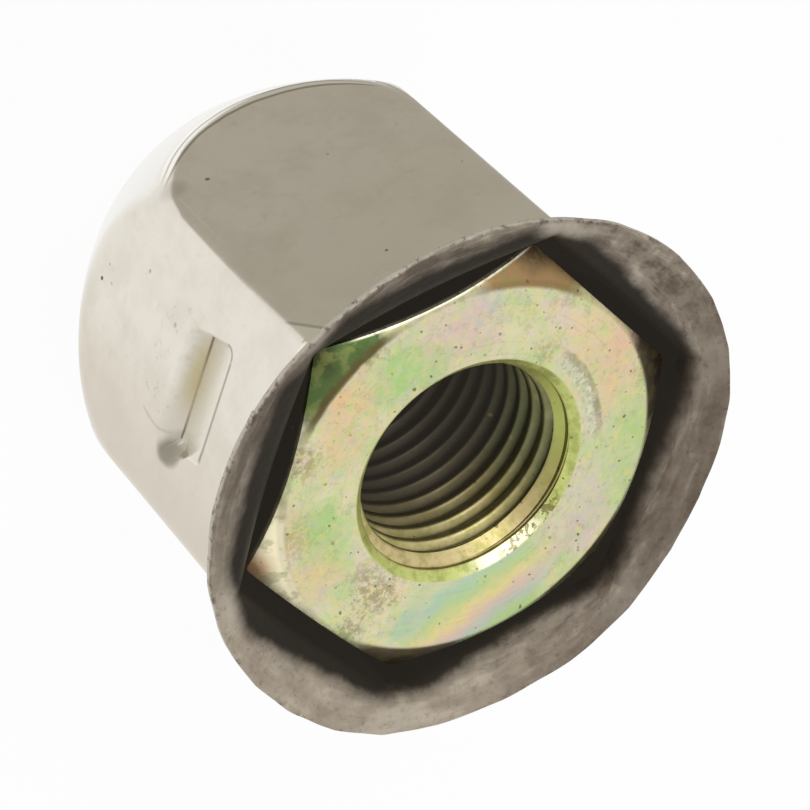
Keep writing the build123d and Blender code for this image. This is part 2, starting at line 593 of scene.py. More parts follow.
@dataclass(frozen=True)
class YellowZinc:
    """Yellow chromate over zinc: pale, patchy and iridescent, worn at the mouth."""

    face_height: float
    face_radius: float
    half_flats: float
    chamfer_slope: float
    mouth_radius: float
    ring_radius: float
    minor_radius: float
    ring_depth: float
    face_soft: float = 0.12
    corner_reach: float = 12.9
    tint_strength: float = 0.85
    grime: Colour = srgb(134, 122, 80)
    cream: Colour = srgb(219, 215, 176)
    lime: Colour = srgb(184, 207, 146)
    rose: Colour = srgb(221, 202, 190)
    straw: Colour = srgb(226, 208, 156)
    ash: Colour = srgb(194, 193, 180)
    silver: Colour = srgb(208, 208, 182)
    # painted highlight colour, used on one chamfer edge and on the countersink
    bright: Colour = srgb(246, 240, 214)
    dirt: Colour = srgb(70, 62, 40)
    # painted shade colour for the nut's sides below the chamfers, down in the cap's gap
    dark: Colour = srgb(34, 30, 24)
    shadow_glow: Colour = srgb(35, 32, 28)
    tints: tuple[Tint, ...] = (
        Tint(srgb(222, 190, 188), -8.5, -3.2, 2.0),
        Tint(srgb(220, 190, 186), -7.1, -4.9, 1.5),
        Tint(srgb(188, 192, 190), -9.9, -2.4, 0.9),
        Tint(srgb(228, 186, 156), -8.0, 6.4, 2.0),
        Tint(srgb(230, 190, 156), -5.6, 7.6, 1.6),
        Tint(srgb(226, 204, 164), -8.7, 4.4, 1.8),
        Tint(srgb(164, 204, 122), -5.6, -6.6, 1.8),
        Tint(srgb(178, 206, 134), -6.4, -4.7, 1.2),
        Tint(srgb(228, 190, 142), -4.2, -9.1, 1.8),
        Tint(srgb(226, 194, 152), -1.6, -8.8, 1.4),
        Tint(srgb(226, 196, 160), 3.6, -9.6, 1.6),
        Tint(srgb(168, 206, 126), 2.8, -8.4, 1.6),
        Tint(srgb(172, 204, 130), 4.8, -7.3, 1.5),
        Tint(srgb(226, 198, 154), 6.2, -7.9, 1.4),
        Tint(srgb(174, 204, 126), -2.8, 9.5, 2.0),
        Tint(srgb(180, 202, 140), 0.2, 10.0, 1.8),
        Tint(srgb(194, 206, 150), -5.0, 9.0, 1.2),
        Tint(srgb(204, 188, 180), 3.2, 8.2, 1.9),
        Tint(srgb(206, 202, 188), 0.8, 7.6, 1.6),
        Tint(srgb(164, 202, 170), 9.2, -1.0, 1.4),
        Tint(srgb(226, 214, 176), 7.9, -3.0, 1.6),
    )
    clouds: tuple[tuple[float, float, float, float, float, float, Colour], ...] = (
        (2.4, 0.6, 1.0, 0.40, 0.66, 0.8, lime), (1.9, 0.6, 2.0, 0.44, 0.68, 0.8, rose),
        (1.6, 0.65, 3.0, 0.47, 0.70, 0.75, straw),
    )
    flakes: tuple[tuple[float, float, Colour, float], ...] = (
        (1.1, 41.0, cream, 0.35), (0.9, 42.0, srgb(188, 212, 134), 0.6),
        (0.9, 43.0, srgb(226, 194, 178), 0.36), (0.7, 44.0, srgb(230, 214, 136), 0.5),
        (0.45, 45.0, srgb(162, 170, 124), 0.45),
    )
    crusts: tuple[tuple[float, float, float, float], ...] = (
        (7.4, -3.4, 2.2, 0.75), (9.7, -4.5, 1.5, 0.8), (-7.3, -9.0, 1.8, 0.85),
        (-0.6, -10.6, 1.7, 0.7), (6.2, -4.6, 1.5, 0.5), (-7.2, 2.2, 1.2, 0.5),
        (4.2, -9.9, 2.2, 0.4), (-10.6, 2.4, 1.5, 0.4), (-6.0, 9.2, 1.2, 0.5),
    )
    # The dark colours at 60 and 120 degrees are painted shade on corners away from the light; the
    # others are the plating's own tints.
    corners: tuple[CornerTint, ...] = (
        CornerTint(180.0, srgb(158, 126, 82), srgb(96, 72, 58)),
        CornerTint(-120.0, srgb(62, 90, 42), srgb(60, 66, 38)),
        CornerTint(-60.0, srgb(255, 246, 210), srgb(214, 168, 126)),
        CornerTint(0.0, srgb(112, 98, 78), srgb(84, 70, 58)),
        CornerTint(60.0, srgb(84, 70, 58), srgb(62, 52, 44)),
        CornerTint(120.0, srgb(78, 62, 52), srgb(74, 54, 48)),
    )
    fringe_colours: tuple[tuple[float, Colour], ...] = (
        (0.0, srgb(206, 208, 172)), (0.16, srgb(168, 202, 178)), (0.34, srgb(182, 206, 140)),
        (0.52, srgb(228, 212, 138)), (0.68, srgb(220, 186, 174)), (0.84, srgb(180, 190, 182)),
        (1.0, srgb(168, 200, 128)),
    )

    def paint(self) -> bpy.types.Material:
        """Makes the material.

        Returns:
            The finished material.
        """
        paint = Paint("yellow_zinc_plating")
        on_face = paint.rise(paint.z, self.face_height - 0.3, self.face_height - 0.1)
        self._patches(paint)
        self._fringes(paint)
        self._grime(paint)
        self._chamfers(paint)
        worn = self._washer_ring(paint)
        gloss = self._bore(paint)
        self._specks(paint)
        paint.dress("Base Color", paint.colour)
        paint.glow(self._shadow(paint), self.shadow_glow)
        paint.dress("Metallic", 0.9)
        grain = paint.cloud(0.25, 2.0, 0.6, 4.0)
        paint.dress("Roughness", 0.36 + 0.14 * grain + 0.12 * worn - 0.08 * gloss)
        rings = paint.node("ShaderNodeTexNoise", {"noise_dimensions": "1D"}, {
            "W": paint.radius, "Scale": 5.0, "Detail": 3.0,
        })
        relief = rings * on_face * 0.3 + paint.cloud(0.5, 3.0, 0.6, 6.0) * 0.7
        paint.bump(relief, 0.018)
        return paint.material

    def _past_face(self, paint: Paint) -> Wire:
        """1 outside the flat of the nut's face."""
        soft = self.face_soft
        return paint.rise(paint.radius, self.face_radius - soft, self.face_radius + soft)

    def _over_cone(self, paint: Paint) -> Wire:
        """Height above the chamfer's cone."""
        cone = self.face_height - (paint.radius - self.face_radius) * self.chamfer_slope
        return paint.z - cone

    def _below_chamfer(self, paint: Paint) -> Wire:
        """1 on the nut's sides, under the chamfer."""
        return paint.rise(self._over_cone(paint), -0.10, -0.35) * self._past_face(paint)

    def _shadow(self, paint: Paint) -> Wire:
        """1 in the depth of the bore and on the sides below the chamfer.

        Args:
            paint: The node tree.

        Returns:
            0 to 1.
        """
        deep = paint.rise(paint.z, self.face_height - 3.0, self.face_height - 8.0)
        deep = deep * paint.rise(paint.radius, self.minor_radius + 0.8, self.minor_radius + 0.7)
        return deep.most(self._below_chamfer(paint))

    def _patches(self, paint: Paint) -> None:
        """Cream plating with soft clouds of interference colour.

        Args:
            paint: The node tree.
        """
        paint.colour = self.cream
        for size, grain, seed, low, high, strength, tint in self.clouds:
            clouds = paint.cloud(size, 4.0, grain, seed, twist=0.8)
            paint.cover(paint.rise(clouds, low, high) * strength, tint)
        ragged_x = paint.x + (paint.cloud(1.5, 4.0, 0.62, 7.0) - 0.5) * 4.0
        ragged_y = paint.y + (paint.cloud(1.5, 4.0, 0.62, 8.0) - 0.5) * 4.0
        for tint in self.tints:
            away = paint.away((tint.x, tint.y), ragged_x, ragged_y)
            share = paint.rise(away, tint.reach * 1.6, 0.0) * self.tint_strength
            paint.cover(share, tint.colour)
        for size, seed, tint, strength in self.flakes:
            small = paint.rise(paint.cloud(size, 5.0, 0.72, seed), 0.50, 0.68)
            paint.cover(small * strength, tint)

    def _fringes(self, paint: Paint) -> None:
        """Slanting bands of colour that follow one another like those of a thin oil film.

        Args:
            paint: The node tree.
        """
        ripple = (paint.cloud(1.6, 5.0, 0.65, 15.0) - 0.5) * 2.4
        across = paint.x * 0.72 + paint.y * 0.69 + ripple
        place = paint.node("ShaderNodeMapRange", {}, {
            "Value": across, "From Min": 5.6, "From Max": 10.4,
        })
        bands = paint.node("ShaderNodeValToRGB", {"stops": self.fringe_colours}, {0: place})
        away = paint.away((8.0, 3.6))
        ragged = away + (paint.cloud(1.5, 3.0, 0.6, 16.0) - 0.5) * 3.0
        paint.cover(paint.rise(ragged, 5.6, 2.6) * 0.8, bands)

    def _grime(self, paint: Paint) -> None:
        """Ashy wear, faint turned circles and brown grime.

        Args:
            paint: The node tree.
        """
        ash = paint.rise(paint.cloud(1.2, 6.0, 0.78, 17.0), 0.50, 0.68)
        side = paint.rise(paint.y - paint.x * 0.3, 5.0, -6.0) * 0.35 + 0.25
        paint.cover(ash * side, self.ash)
        wave = (paint.cloud(4.0, 2.0, 0.5, 18.0) - 0.5) * 0.5
        lines = paint.node("ShaderNodeTexNoise", {"noise_dimensions": "1D"}, {
            "W": paint.radius + wave, "Scale": 5.5, "Detail": 2.0,
        })
        patchy = paint.rise(paint.cloud(2.5, 3.0, 0.6, 19.0), 0.45, 0.62)
        paint.cover(paint.rise(lines, 0.56, 0.7) * patchy * 0.07, self.dirt)
        fine = paint.cloud(0.42, 5.0, 0.75, 14.0)
        for x, y, reach, strength in self.crusts:
            near = paint.rise(paint.away((x, y)), reach * 1.5, reach * 0.1)
            crust = paint.rise(fine * 0.8 + near * 0.2, 0.50, 0.64) * near
            paint.cover(crust * strength * 0.8, self.grime)

    def _chamfers(self, paint: Paint) -> None:
        """Tinted chamfers with dark tips, painted shade on the sides below them, and a painted
        highlight along one flat's edge.

        Args:
            paint: The node tree.
        """
        beyond = self._past_face(paint)
        clouds = paint.cloud(1.0, 3.0, 0.6, 9.0)
        uneven = (clouds - 0.5) * 1.8
        for corner in self.corners:
            turn = radians(corner.direction)
            away = paint.away((self.corner_reach * cos(turn), self.corner_reach * sin(turn)))
            share = paint.rise(away + uneven, 4.4, 3.0) * beyond * 0.94
            paint.cover(share, corner.colour)
            tip = paint.rise(away + uneven * 0.5, 1.7, 0.5)
            paint.cover(tip * beyond * 0.9, corner.tip)
        lime = paint.rise(clouds, 0.50, 0.62) * beyond
        paint.cover(lime * 0.4, srgb(136, 138, 78))
        rim = paint.band(paint.radius + uneven * 0.15, self.face_radius + 0.12, 0.08, 0.22)
        shady = paint.rise(paint.away((-5.2, -9.6)), 4.2, 2.0) * 0.6 + 0.22
        paint.cover(rim * shady, srgb(92, 80, 50))

        # painted shade: the sides below the chamfers are laid dark where the cap's gap leaves them
        # unlit
        paint.cover(self._below_chamfer(paint), self.dark)
        # painted highlight along the chamfer edge of the flat that faces -150 degrees, broken up a
        # little
        beside = self._beside(paint)
        edge = paint.rise(beside, self.half_flats - 0.14, self.half_flats - 0.04)
        edge = edge * paint.rise(self._over_cone(paint), -0.26, -0.12)
        away = paint.away((-10.2, -4.9))
        broken = 0.45 + 0.55 * paint.rise(paint.cloud(0.5, 4.0, 0.7, 46.0), 0.40, 0.52)
        paint.cover(edge * broken * paint.rise(away, 6.2, 4.2), self.bright)

    def _beside(self, paint: Paint) -> Wire:
        """Distance of a place from the axis, measured square to the nearest flat.

        Args:
            paint: The node tree.

        Returns:
            The distance in millimetres.
        """
        beside = abs(paint.y)
        for turn in (pi / 6, 5 * pi / 6):
            beside = beside.most(abs(paint.x * cos(turn) + paint.y * sin(turn)))
        return beside

    def _washer_ring(self, paint: Paint) -> Wire:
        """A silvery ring with dark streaks, left where a washer has turned.

        Args:
            paint: The node tree.

        Returns:
            1 where the plating is worn.
        """
        ragged = (paint.cloud(0.6, 4.0, 0.7, 10.0) - 0.5) * 0.45
        around = (paint.x + 0.35).beside(paint.y - 0.1) + ragged
        near = paint.away((-5.0, 5.7))
        here = paint.rise(near, 3.8, 2.4)
        track = paint.band(around, self.mouth_radius + 0.42, 0.24, 0.2)
        worn = track * here
        paint.cover(worn * 0.8, self.silver)
        line = paint.band(around, self.mouth_radius + 0.86, 0.10, 0.20) * here
        streak = 0.45 + 0.55 * paint.rise(paint.cloud(0.9, 4.0, 0.7, 11.0), 0.40, 0.60)
        paint.cover(line * streak * 0.62, srgb(122, 120, 100))
        flecks = paint.rise(paint.cloud(0.34, 3.0, 0.6, 20.0), 0.46, 0.60)
        paint.cover(flecks * worn * 0.5, srgb(170, 168, 138))
        pale = paint.rise(paint.cloud(0.3, 3.0, 0.6, 47.0), 0.54, 0.64)
        paint.cover(pale * worn * 0.6, srgb(236, 234, 210))
        return worn

    def _bore(self, paint: Paint) -> Wire:
        """Olive countersink with a painted highlight, tan lead-in, and threads with painted shade
        that deepens into the bore.

        Args:
            paint: The node tree.

        Returns:
            1 where the highlight is painted on the countersink, which is also made smoother there.
        """
        top = self.face_height
        inside = paint.rise(paint.radius, self.mouth_radius + 0.03, self.mouth_radius - 0.05)
        mottled = paint.cloud(1.1, 4.0, 0.65, 12.0)
        clear = paint.rise(mottled, 0.40, 0.62)
        sink = paint.mix(clear, srgb(202, 208, 128), srgb(170, 178, 102))
        paint.cover(inside, sink)
        ring_top = top - (self.mouth_radius - self.ring_radius)
        lining = paint.mix(clear, srgb(208, 190, 140), srgb(172, 164, 102))
        green = paint.rise(paint.away((-3.4, 6.0)), 6.0, 2.6)
        lining = paint.mix(green * 0.85, lining, srgb(172, 182, 96))
        lead_in = paint.rise(paint.z, ring_top, ring_top - 0.08) * inside
        paint.cover(lead_in, lining)
        # painted shade: a thin dark line at the edge between the countersink and the lead-in
        seam = paint.band(paint.z, ring_top - 0.03, 0.03, 0.08) * inside
        paint.cover(seam * 0.4, srgb(120, 96, 50))

        # painted highlight on the countersink, where the key light reflects
        glare = paint.away((4.7, 4.4))
        sheen = paint.rise(glare + (clear - 0.5) * 0.8, 3.2, 1.4) * inside
        sheen = sheen * paint.rise(paint.z, ring_top, ring_top + 0.06)
        paint.cover(sheen * 0.6, self.bright)
        # dark marks painted inside the highlight, a painted reflection of the threads
        highlight_dark_marks = paint.rise(paint.cloud(0.36, 2.0, 0.5, 31.0, twist=1.2), 0.50, 0.56)
        side = paint.rise(paint.away((3.6, 5.4)), 2.8, 1.6)
        above = paint.rise(paint.z, ring_top - 0.05, ring_top + 0.05) * inside
        paint.cover(highlight_dark_marks * side * above * 0.8, srgb(116, 102, 60))

        slope_end = ring_top - self.ring_depth - (self.ring_radius - self.minor_radius)
        threads = paint.rise(paint.z, slope_end + 0.2, slope_end - 0.05) * inside
        thread = paint.mix(clear, srgb(204, 192, 138), srgb(176, 168, 108))
        paint.cover(threads, thread)
        # painted shade on one side of the lead-in and the threads
        dusk = paint.rise(paint.away((1.8, 6.2)), 4.6, 1.6)
        dusk = dusk * inside * paint.rise(paint.z, ring_top - 0.02, ring_top - 0.12)
        paint.cover(dusk * 0.4, srgb(120, 106, 60))
        # painted shade: the threads are laid darker the deeper they lie in the bore
        first = paint.rise(paint.z, top - 1.8, top - 5.6) * inside
        paint.cover(first * 0.8, srgb(104, 94, 66))
        green = paint.rise(paint.away((-2.4, 6.2)), 6.2, 2.6)
        paint.cover(green * threads * 0.6, srgb(84, 98, 74))
        second = paint.rise(paint.z, top - 3.6, top - 8.2) * inside
        paint.cover(second * 0.94, srgb(54, 49, 41))
        # painted shade in the thread roots, weaker where the depth shade is strong
        root = paint.rise(paint.radius, self.minor_radius + 0.38, self.minor_radius + 0.5)
        root = root * (1.0 - second * 0.9)
        paint.cover(root * threads * 0.6, srgb(56, 48, 30))
        return sheen

    def _specks(self, paint: Paint) -> None:
        """Small dark specks, fine and coarse.

        Args:
            paint: The node tree.
        """
        crowd = paint.rise(paint.cloud(3.2, 2.0, 0.5, 39.0), 0.36, 0.58)
        fine = paint.specks(0.42, 0.11, 0.5, 1.0) * (0.35 + 0.65 * crowd)
        coarse = paint.specks(1.5, 0.20, 0.42, 2.0)
        brown = paint.specks(0.9, 0.16, 0.4, 5.0)
        paint.cover(brown * 0.55, srgb(146, 116, 78))
        paint.cover(fine.most(coarse) * 0.75, self.dirt)


@dataclass(frozen=True)
class Mark:
    """A small dark mark on the cap's outside."""

    x: float
    y: float
    z: float
    size: float
    strength: float


@dataclass(frozen=True)
class DrawnStainless:
    """Polished stainless sheet: bright outside with a dome side painted whiter as painted
    reflection, oxidised at the flange, and black inside the bend, partly soot and partly painted
    shade.

    It reads attributes of the cap's mesh, all in millimetres but the first: skin (0 outside, 1 on
    the flange and inside), seam (from the dome's crease), edge (from the trimmed edge), outset
    (outside the mouth), corner (from the middle of a corner) and flat (place on a staked flat,
    along it and up it).
    """

    crease_height: float
    tab_rise: float
    body: Colour = srgb(229, 223, 211)
    haze: Colour = srgb(219, 213, 200)
    # painted reflection: the dome side is painted whiter than the flats
    dome: Colour = srgb(240, 237, 232)
    # dark line colour, used for painted shade lines at the crease and a corner's foot, and a faint
    # line at the dent's end
    line: Colour = srgb(112, 104, 90)
    glint: Colour = srgb(244, 241, 231)
    oxide: Colour = srgb(138, 127, 112)
    brown_oxide: Colour = srgb(100, 87, 74)
    pale_oxide: Colour = srgb(182, 172, 155)
    edge_metal: Colour = srgb(204, 198, 184)
    # soot colour, also used for the painted shade that darkens the flange towards the bend
    soot_and_shade: Colour = srgb(58, 50, 42)
    # painted shade: near black inside the bend and on the hidden inner wall, partly soot
    black: Colour = srgb(20, 17, 13)
    gap_glow: Colour = srgb(38, 34, 29)
    # painted shade colours for the dent's lower slope, straw nearer the crease and grey lower down
    straw_slope_shade: Colour = srgb(178, 164, 118)
    grey_slope_shade: Colour = srgb(176, 171, 162)
    # painted shade colour for the dent's far end wall
    dent_end_shade: Colour = srgb(134, 129, 112)
    # direction where the painted black of the gap reaches least far
    gap_shade_side: float = 65.0
    marks: tuple[Mark, ...] = (
        Mark(-0.75, -12.7, 8.2, 0.17, 0.95), Mark(-1.8, -12.7, 8.6, 0.13, 0.5),
        Mark(-1.0, -12.7, 9.3, 0.12, 0.3), Mark(-8.7, -10.4, 11.9, 0.16, 0.7),
        Mark(-8.3, -10.6, 10.9, 0.12, 0.3), Mark(-10.8, -6.7, 23.8, 0.15, 0.75),
        Mark(-3.5, -12.7, 12.6, 0.16, 0.45), Mark(-2.3, -12.7, 16.3, 0.20, 0.35),
        Mark(-11.6, -5.2, 14.4, 0.14, 0.35), Mark(-12.6, -3.4, 17.8, 0.13, 0.4),
    )

    def paint(self) -> bpy.types.Material:
        """Makes the material.

        Returns:
            The finished material.
        """
        paint = Paint("drawn_stainless")
        dull = paint.rise(paint.read("skin"), 0.4, 0.6)
        fine = paint.cloud(0.45, 4.0, 0.75, 25.0)
        self._outside(paint)
        self._stake_shading(paint)
        outside = paint.colour
        streaks, soot_and_gap_shade = self._flange(paint, fine)
        paint.dress("Base Color", paint.mix(dull, outside, paint.colour))
        above = self._on_flat(paint, "Y") - self.crease_height
        along = abs(self._on_flat(paint, "X"))
        tab = paint.rise(above, self.tab_rise, self.tab_rise - 0.2) * paint.rise(along, 3.4, 3.2)
        tab = tab * paint.rise(above, 0.02, 0.12)
        bruise = paint.rise((self._on_flat(paint, "X") - 3.6).beside(above - 0.2), 1.15, 0.6)
        less_metal = (dull * (1.0 - soot_and_gap_shade) * 0.3).most(tab * 0.55).most(bruise * 0.7)
        paint.dress("Metallic", 1.0 - less_metal)
        # a faint glow over the painted black so that the gap reads dark grey
        paint.glow(soot_and_gap_shade * dull, self.gap_glow)
        fog = paint.cloud(2.5, 3.0, 0.6, 26.0)
        bare = 0.16 + fog * 0.08 + bruise * 0.35
        paint.dress("Roughness", bare + dull * (0.2 + 0.24 * fine))
        relief = paint.cloud(3.5, 3.0, 0.5, 27.0) * 0.25 * (1.0 - dull)
        paint.bump(relief + (fine * 0.6 + streaks * 0.9) * dull, 0.05)
        return paint.material

    @staticmethod
    def _on_flat(paint: Paint, axis: str) -> Wire:
        """Place on a staked flat, or a large number away from all of them."""
        place = paint.node("ShaderNodeAttribute", {"attribute_name": "flat"}, {}, "Vector")
        return paint.node("ShaderNodeSeparateXYZ", {}, {0: place}, axis)

    @staticmethod
    def _off(paint: Paint, middle: Point3, uneven: Wire) -> Wire:
        """Distance from a point, made a little uneven.

        Args:
            paint: The node tree.
            middle: The point.
            uneven: A grain round 0.5.

        Returns:
            The distance in millimetres.
        """
        away = paint.node("ShaderNodeVectorMath", {"operation": "DISTANCE"}, {
            0: paint.place, 1: middle,
        }, "Value")
        return away + (uneven - 0.5) * 0.3

    def _outside(self, paint: Paint) -> None:
        """Bright body with faint haze, a whiter dome side as painted reflection, painted highlight
        bands and shade lines at the crease, a painted light patch at a corner's foot, and a few
        marks.

        Args:
            paint: The node tree.
        """
        clouds = paint.cloud(3.0, 5.0, 0.6, 21.0)
        paint.colour = paint.mix(paint.rise(clouds, 0.4, 0.66) * 0.8, self.body, self.haze)
        small = paint.cloud(0.8, 4.0, 0.7, 22.0)
        paint.cover(paint.rise(small, 0.56, 0.74) * 0.22, srgb(188, 182, 166))
        wave = (paint.cloud(2.6, 3.0, 0.5, 29.0) - 0.5) * 0.3
        crease = paint.read("seam") + wave
        # painted reflection: the dome side of the crease is laid whiter than the flats
        paint.cover(paint.rise(crease, 0.9, -1.6), self.dome)

        corner = abs(paint.read("corner"))
        smudge = paint.rise(self._off(paint, (-7.75, -11.9, 11.4), small), 1.1, 0.3)
        paint.cover(smudge * 0.35, srgb(160, 154, 140))
        low = paint.rise(paint.x + (clouds - 0.5) * 3.0, -1.0, 6.0)
        low = low * paint.rise(paint.y, -11.2, -12.0)
        paint.cover(low * 0.75, srgb(206, 197, 182))

        # painted reflections at the dome crease of the plain flats: two bright bands and two dark
        # lines
        plain_flat = paint.rise(self._on_flat(paint, "X"), 20.0, 40.0)
        plain_flat = plain_flat * paint.rise(corner, 0.2, 1.4)
        bands = paint.band(crease, 0.30, 0.12, 0.12).most(paint.band(crease, -0.35, 0.14, 0.16))
        paint.cover(bands * plain_flat * 0.8, srgb(252, 250, 243))
        lines = paint.band(crease, 0.62, 0.04, 0.13) * 0.6
        lines = lines.most(paint.band(crease, -0.02, 0.03, 0.12) * 0.42)
        paint.cover(lines * plain_flat, self.line)

        # painted light: a pale patch where the bend at a corner's foot catches light on the -150
        # degree flat, topped by a painted shade line
        side = paint.x * -cos(pi / 6) - paint.y * 0.5
        facing = paint.rise(side, 12.60, 12.69) * paint.rise(paint.y, -4.0, -7.0)
        foot = paint.z - corner * 1.55 - 25.2
        paint.cover(paint.rise(foot, 0.0, 0.3) * facing * 0.75, srgb(252, 250, 232))
        paint.cover(paint.band(foot, 0.0, 0.06, 0.24) * facing * 0.5, self.line)
        shaded = paint.rise(side, 12.45, 12.6) * paint.rise(paint.z + paint.y * 0.5, 8.0, 24.0)
        paint.cover(shaded * 0.35, srgb(210, 206, 190))
        paint.cover(paint.specks(2.6, 0.13, 0.18, 23.0) * 0.35, srgb(128, 120, 102))
        for mark in self.marks:
            off = self._off(paint, (mark.x, mark.y, mark.z), small)
            spot = paint.rise(off, mark.size, mark.size * 0.45)
            paint.cover(spot * mark.strength, srgb(84, 76, 60))

    def _stake_shading(self, paint: Paint) -> None:
        """Painted shade on the dent's lower slope, in its crease and along its outlines, a paler
        tab as painted light, a painted highlight dot, and painted shade on the dulled far end.

        Args:
            paint: The node tree.
        """
        along = self._on_flat(paint, "X")
        height = self._on_flat(paint, "Y")
        above = height - self.crease_height
        ragged = paint.cloud(0.8, 3.0, 0.6, 32.0) - 0.5

        # painted shade on the dent's lower slope, grey lower down and straw coloured next to the
        # crease
        under = paint.rise(above, 0.03, -0.04)
        ends = paint.rise(abs(along + ragged), 3.9, 2.8)
        haze = paint.rise(above + ragged * 0.5, -1.25, -0.35) * under * ends
        paint.cover(haze * 0.42, self.grey_slope_shade)
        fade = paint.rise(abs(along + 0.7 + ragged), 3.6, 0.4)
        slope_shade = paint.rise(above + ragged * 0.35, -0.82, -0.05) * under
        paint.cover(slope_shade * fade * 0.85, self.straw_slope_shade)
        warm = paint.rise(above + ragged * 0.8, 1.3, 0.1) * paint.rise(above, -0.04, 0.03)
        paint.cover(warm * fade * 0.16, srgb(214, 200, 156))

        # painted light: the dent's tab is laid paler
        tab = paint.rise(above, self.tab_rise + 0.02, self.tab_rise - 0.1)
        tab = tab * paint.rise(above, 0.0, 0.1) * paint.rise(abs(along), 3.5, 3.3)
        paint.cover(tab * 0.55, srgb(246, 242, 222))
        # painted shade on the dent's far end wall, stronger just outside it
        wall = (along - 3.72).beside((above - 0.6) * 0.70) + ragged * 0.2
        wall = paint.rise(wall, 1.02, 0.5) * paint.rise(along, 2.95, 3.3)
        limit = (above * 0.1 + 3.95).least(above * -0.56 + 4.95)
        outer_side = paint.rise(along - limit, -0.75, -0.05) * 0.42 + 0.4
        paint.cover(wall * outer_side.most(paint.rise(above, 0.0, -0.1) * 0.85), self.dent_end_shade)
        # painted highlight: a bright dot at the crease's far end
        spot = (along - 3.2).beside(above - 0.25)
        paint.cover(paint.rise(spot, 0.26, 0.10) * 0.9, self.glint)

        # painted shade in the bottom of the dent's crease
        crease = paint.rise(abs(above), 0.075, 0.02) * paint.rise(abs(along + 0.22), 3.36, 3.28)
        strong = 0.5 + 0.5 * paint.rise(abs(along - 0.2), 0.6, 3.0)
        paint.cover(crease * strong * 0.8, srgb(98, 84, 62))
        # painted shade lines along the tab's edges and its rounded corner
        outline = paint.band(above, self.tab_rise, 0.06, 0.12) * paint.band(along, 0.2, 2.8, 0.35)
        side = paint.band(along, -3.54, 0.05, 0.08) * paint.band(above, 1.9, 0.9, 0.6)
        corner_x = (along + 2.86).least(0.0)
        corner_y = (above - self.tab_rise + 0.72).most(0.0)
        turn = corner_x.beside(corner_y)
        bend = paint.band(turn, 0.70, 0.05, 0.10) * paint.rise(along, -2.6, -2.9)
        bend = bend * paint.rise(above, self.tab_rise - 0.9, self.tab_rise - 0.6)
        outline = outline.most(side * 0.5).most(bend)
        paint.cover(outline * 0.62, srgb(120, 114, 100))

        bow = along - 3.05 + (above + 1.6) * (above + 1.6) * 0.035
        bow = paint.band(bow, 0.0, 0.03, 0.10) * paint.band(above, -1.7, 1.0, 0.5)
        paint.cover(bow * 0.2, self.line)
        blotch = paint.rise(paint.cloud(0.55, 3.0, 0.6, 33.0), 0.57, 0.70)
        near = paint.rise(abs(along + 0.8), 4.2, 2.6) * paint.band(height, 16.4, 1.0, 1.2)
        paint.cover(blotch * near * 0.45, srgb(172, 170, 156))

    def _flange(self, paint: Paint, fine: Wire) -> tuple[Wire, Wire]:
        """Mottled oxide with streaks along the rim, painted light and shade round the flange, a
        light edge, and black down the bend that is partly soot and partly painted shade.

        Args:
            paint: The node tree.
            fine: Fine grain.

        Returns:
            The streaks, and 1 where it is painted black, partly as soot and partly as painted
            shade.
        """
        edge = paint.read("edge")
        around_x, around_y = paint.x / paint.radius, paint.y / paint.radius
        wrapped = paint.node("ShaderNodeCombineXYZ", {}, {
            0: around_x * 3.4, 1: around_y * 3.4, 2: edge * 1.15,
        })
        streaks = paint.node("ShaderNodeTexNoise", {}, {
            "Vector": wrapped, "Scale": 1.0, "Detail": 5.0, "Roughness": 0.62, "Distortion": 0.4,
        })
        blotch = paint.cloud(1.5, 5.0, 0.65, 24.0)
        mottle = blotch * 0.45 + streaks * 0.55
        paint.colour = paint.mix(paint.rise(mottle, 0.40, 0.53), self.brown_oxide, self.oxide)
        paint.cover(paint.rise(mottle, 0.52, 0.63) * 0.85, self.pale_oxide)

        corner = abs(paint.read("corner"))
        soft = paint.cloud(2.0, 3.0, 0.5, 34.0)
        patch = paint.rise(corner + (soft - 0.5) * 3.0, 2.6, 0.5) * paint.band(edge, 1.0, 0.4, 0.7)
        paint.cover(patch * 0.6, srgb(192, 183, 167))
        # painted light on the side of the flange towards +X, painted shade towards +Y and -Y
        toward = paint.x * 0.97 - paint.y * 0.26
        paint.cover(paint.rise(toward, 3.0, 14.0) * 0.5, srgb(186, 174, 155))
        paint.cover(paint.rise(paint.y, 6.0, 14.5) * 0.6, self.brown_oxide)
        left = paint.rise(paint.x * -0.17 - paint.y * 0.98, 11.5, 14.5)
        paint.cover(left * 0.4, self.brown_oxide)
        near_band = paint.rise(paint.x * 0.55 + paint.y * 0.83, -8.0, -14.0)
        dark_band = paint.band(edge + (soft - 0.5) * 0.5, 0.95, 0.22, 0.25) * near_band
        paint.cover(dark_band * 0.6, srgb(82, 72, 60))
        paint.cover(paint.rise(fine, 0.52, 0.74) * 0.4, self.soot_and_shade)
        paint.cover(paint.specks(0.5, 0.09, 0.35, 35.0) * 0.4, self.soot_and_shade)

        # painted shade down the bend into the gap, over some soot: it reaches further round the
        # near side
        side = radians(self.gap_shade_side)
        reach = 0.85 - (around_x * cos(side) + around_y * sin(side)) * 0.85
        reach = reach * (1.0 - paint.rise(corner, 2.6, 0.3) * 0.5)
        ragged = (paint.cloud(1.1, 4.0, 0.6, 36.0) - 0.5) * 0.6
        past = paint.read("outset") + ragged - reach
        crest = paint.band(past, 0.62, 0.10, 0.28) * paint.rise(streaks, 0.42, 0.56)
        paint.cover(crest * 0.25, self.pale_oxide)
        paint.cover(paint.rise(past, 1.0, 0.0) * 0.75, self.soot_and_shade)
        soot_and_gap_shade = paint.rise(past, 0.36, -0.12).most(paint.rise(paint.z, 27.0, 26.6))
        paint.cover(soot_and_gap_shade, self.black)

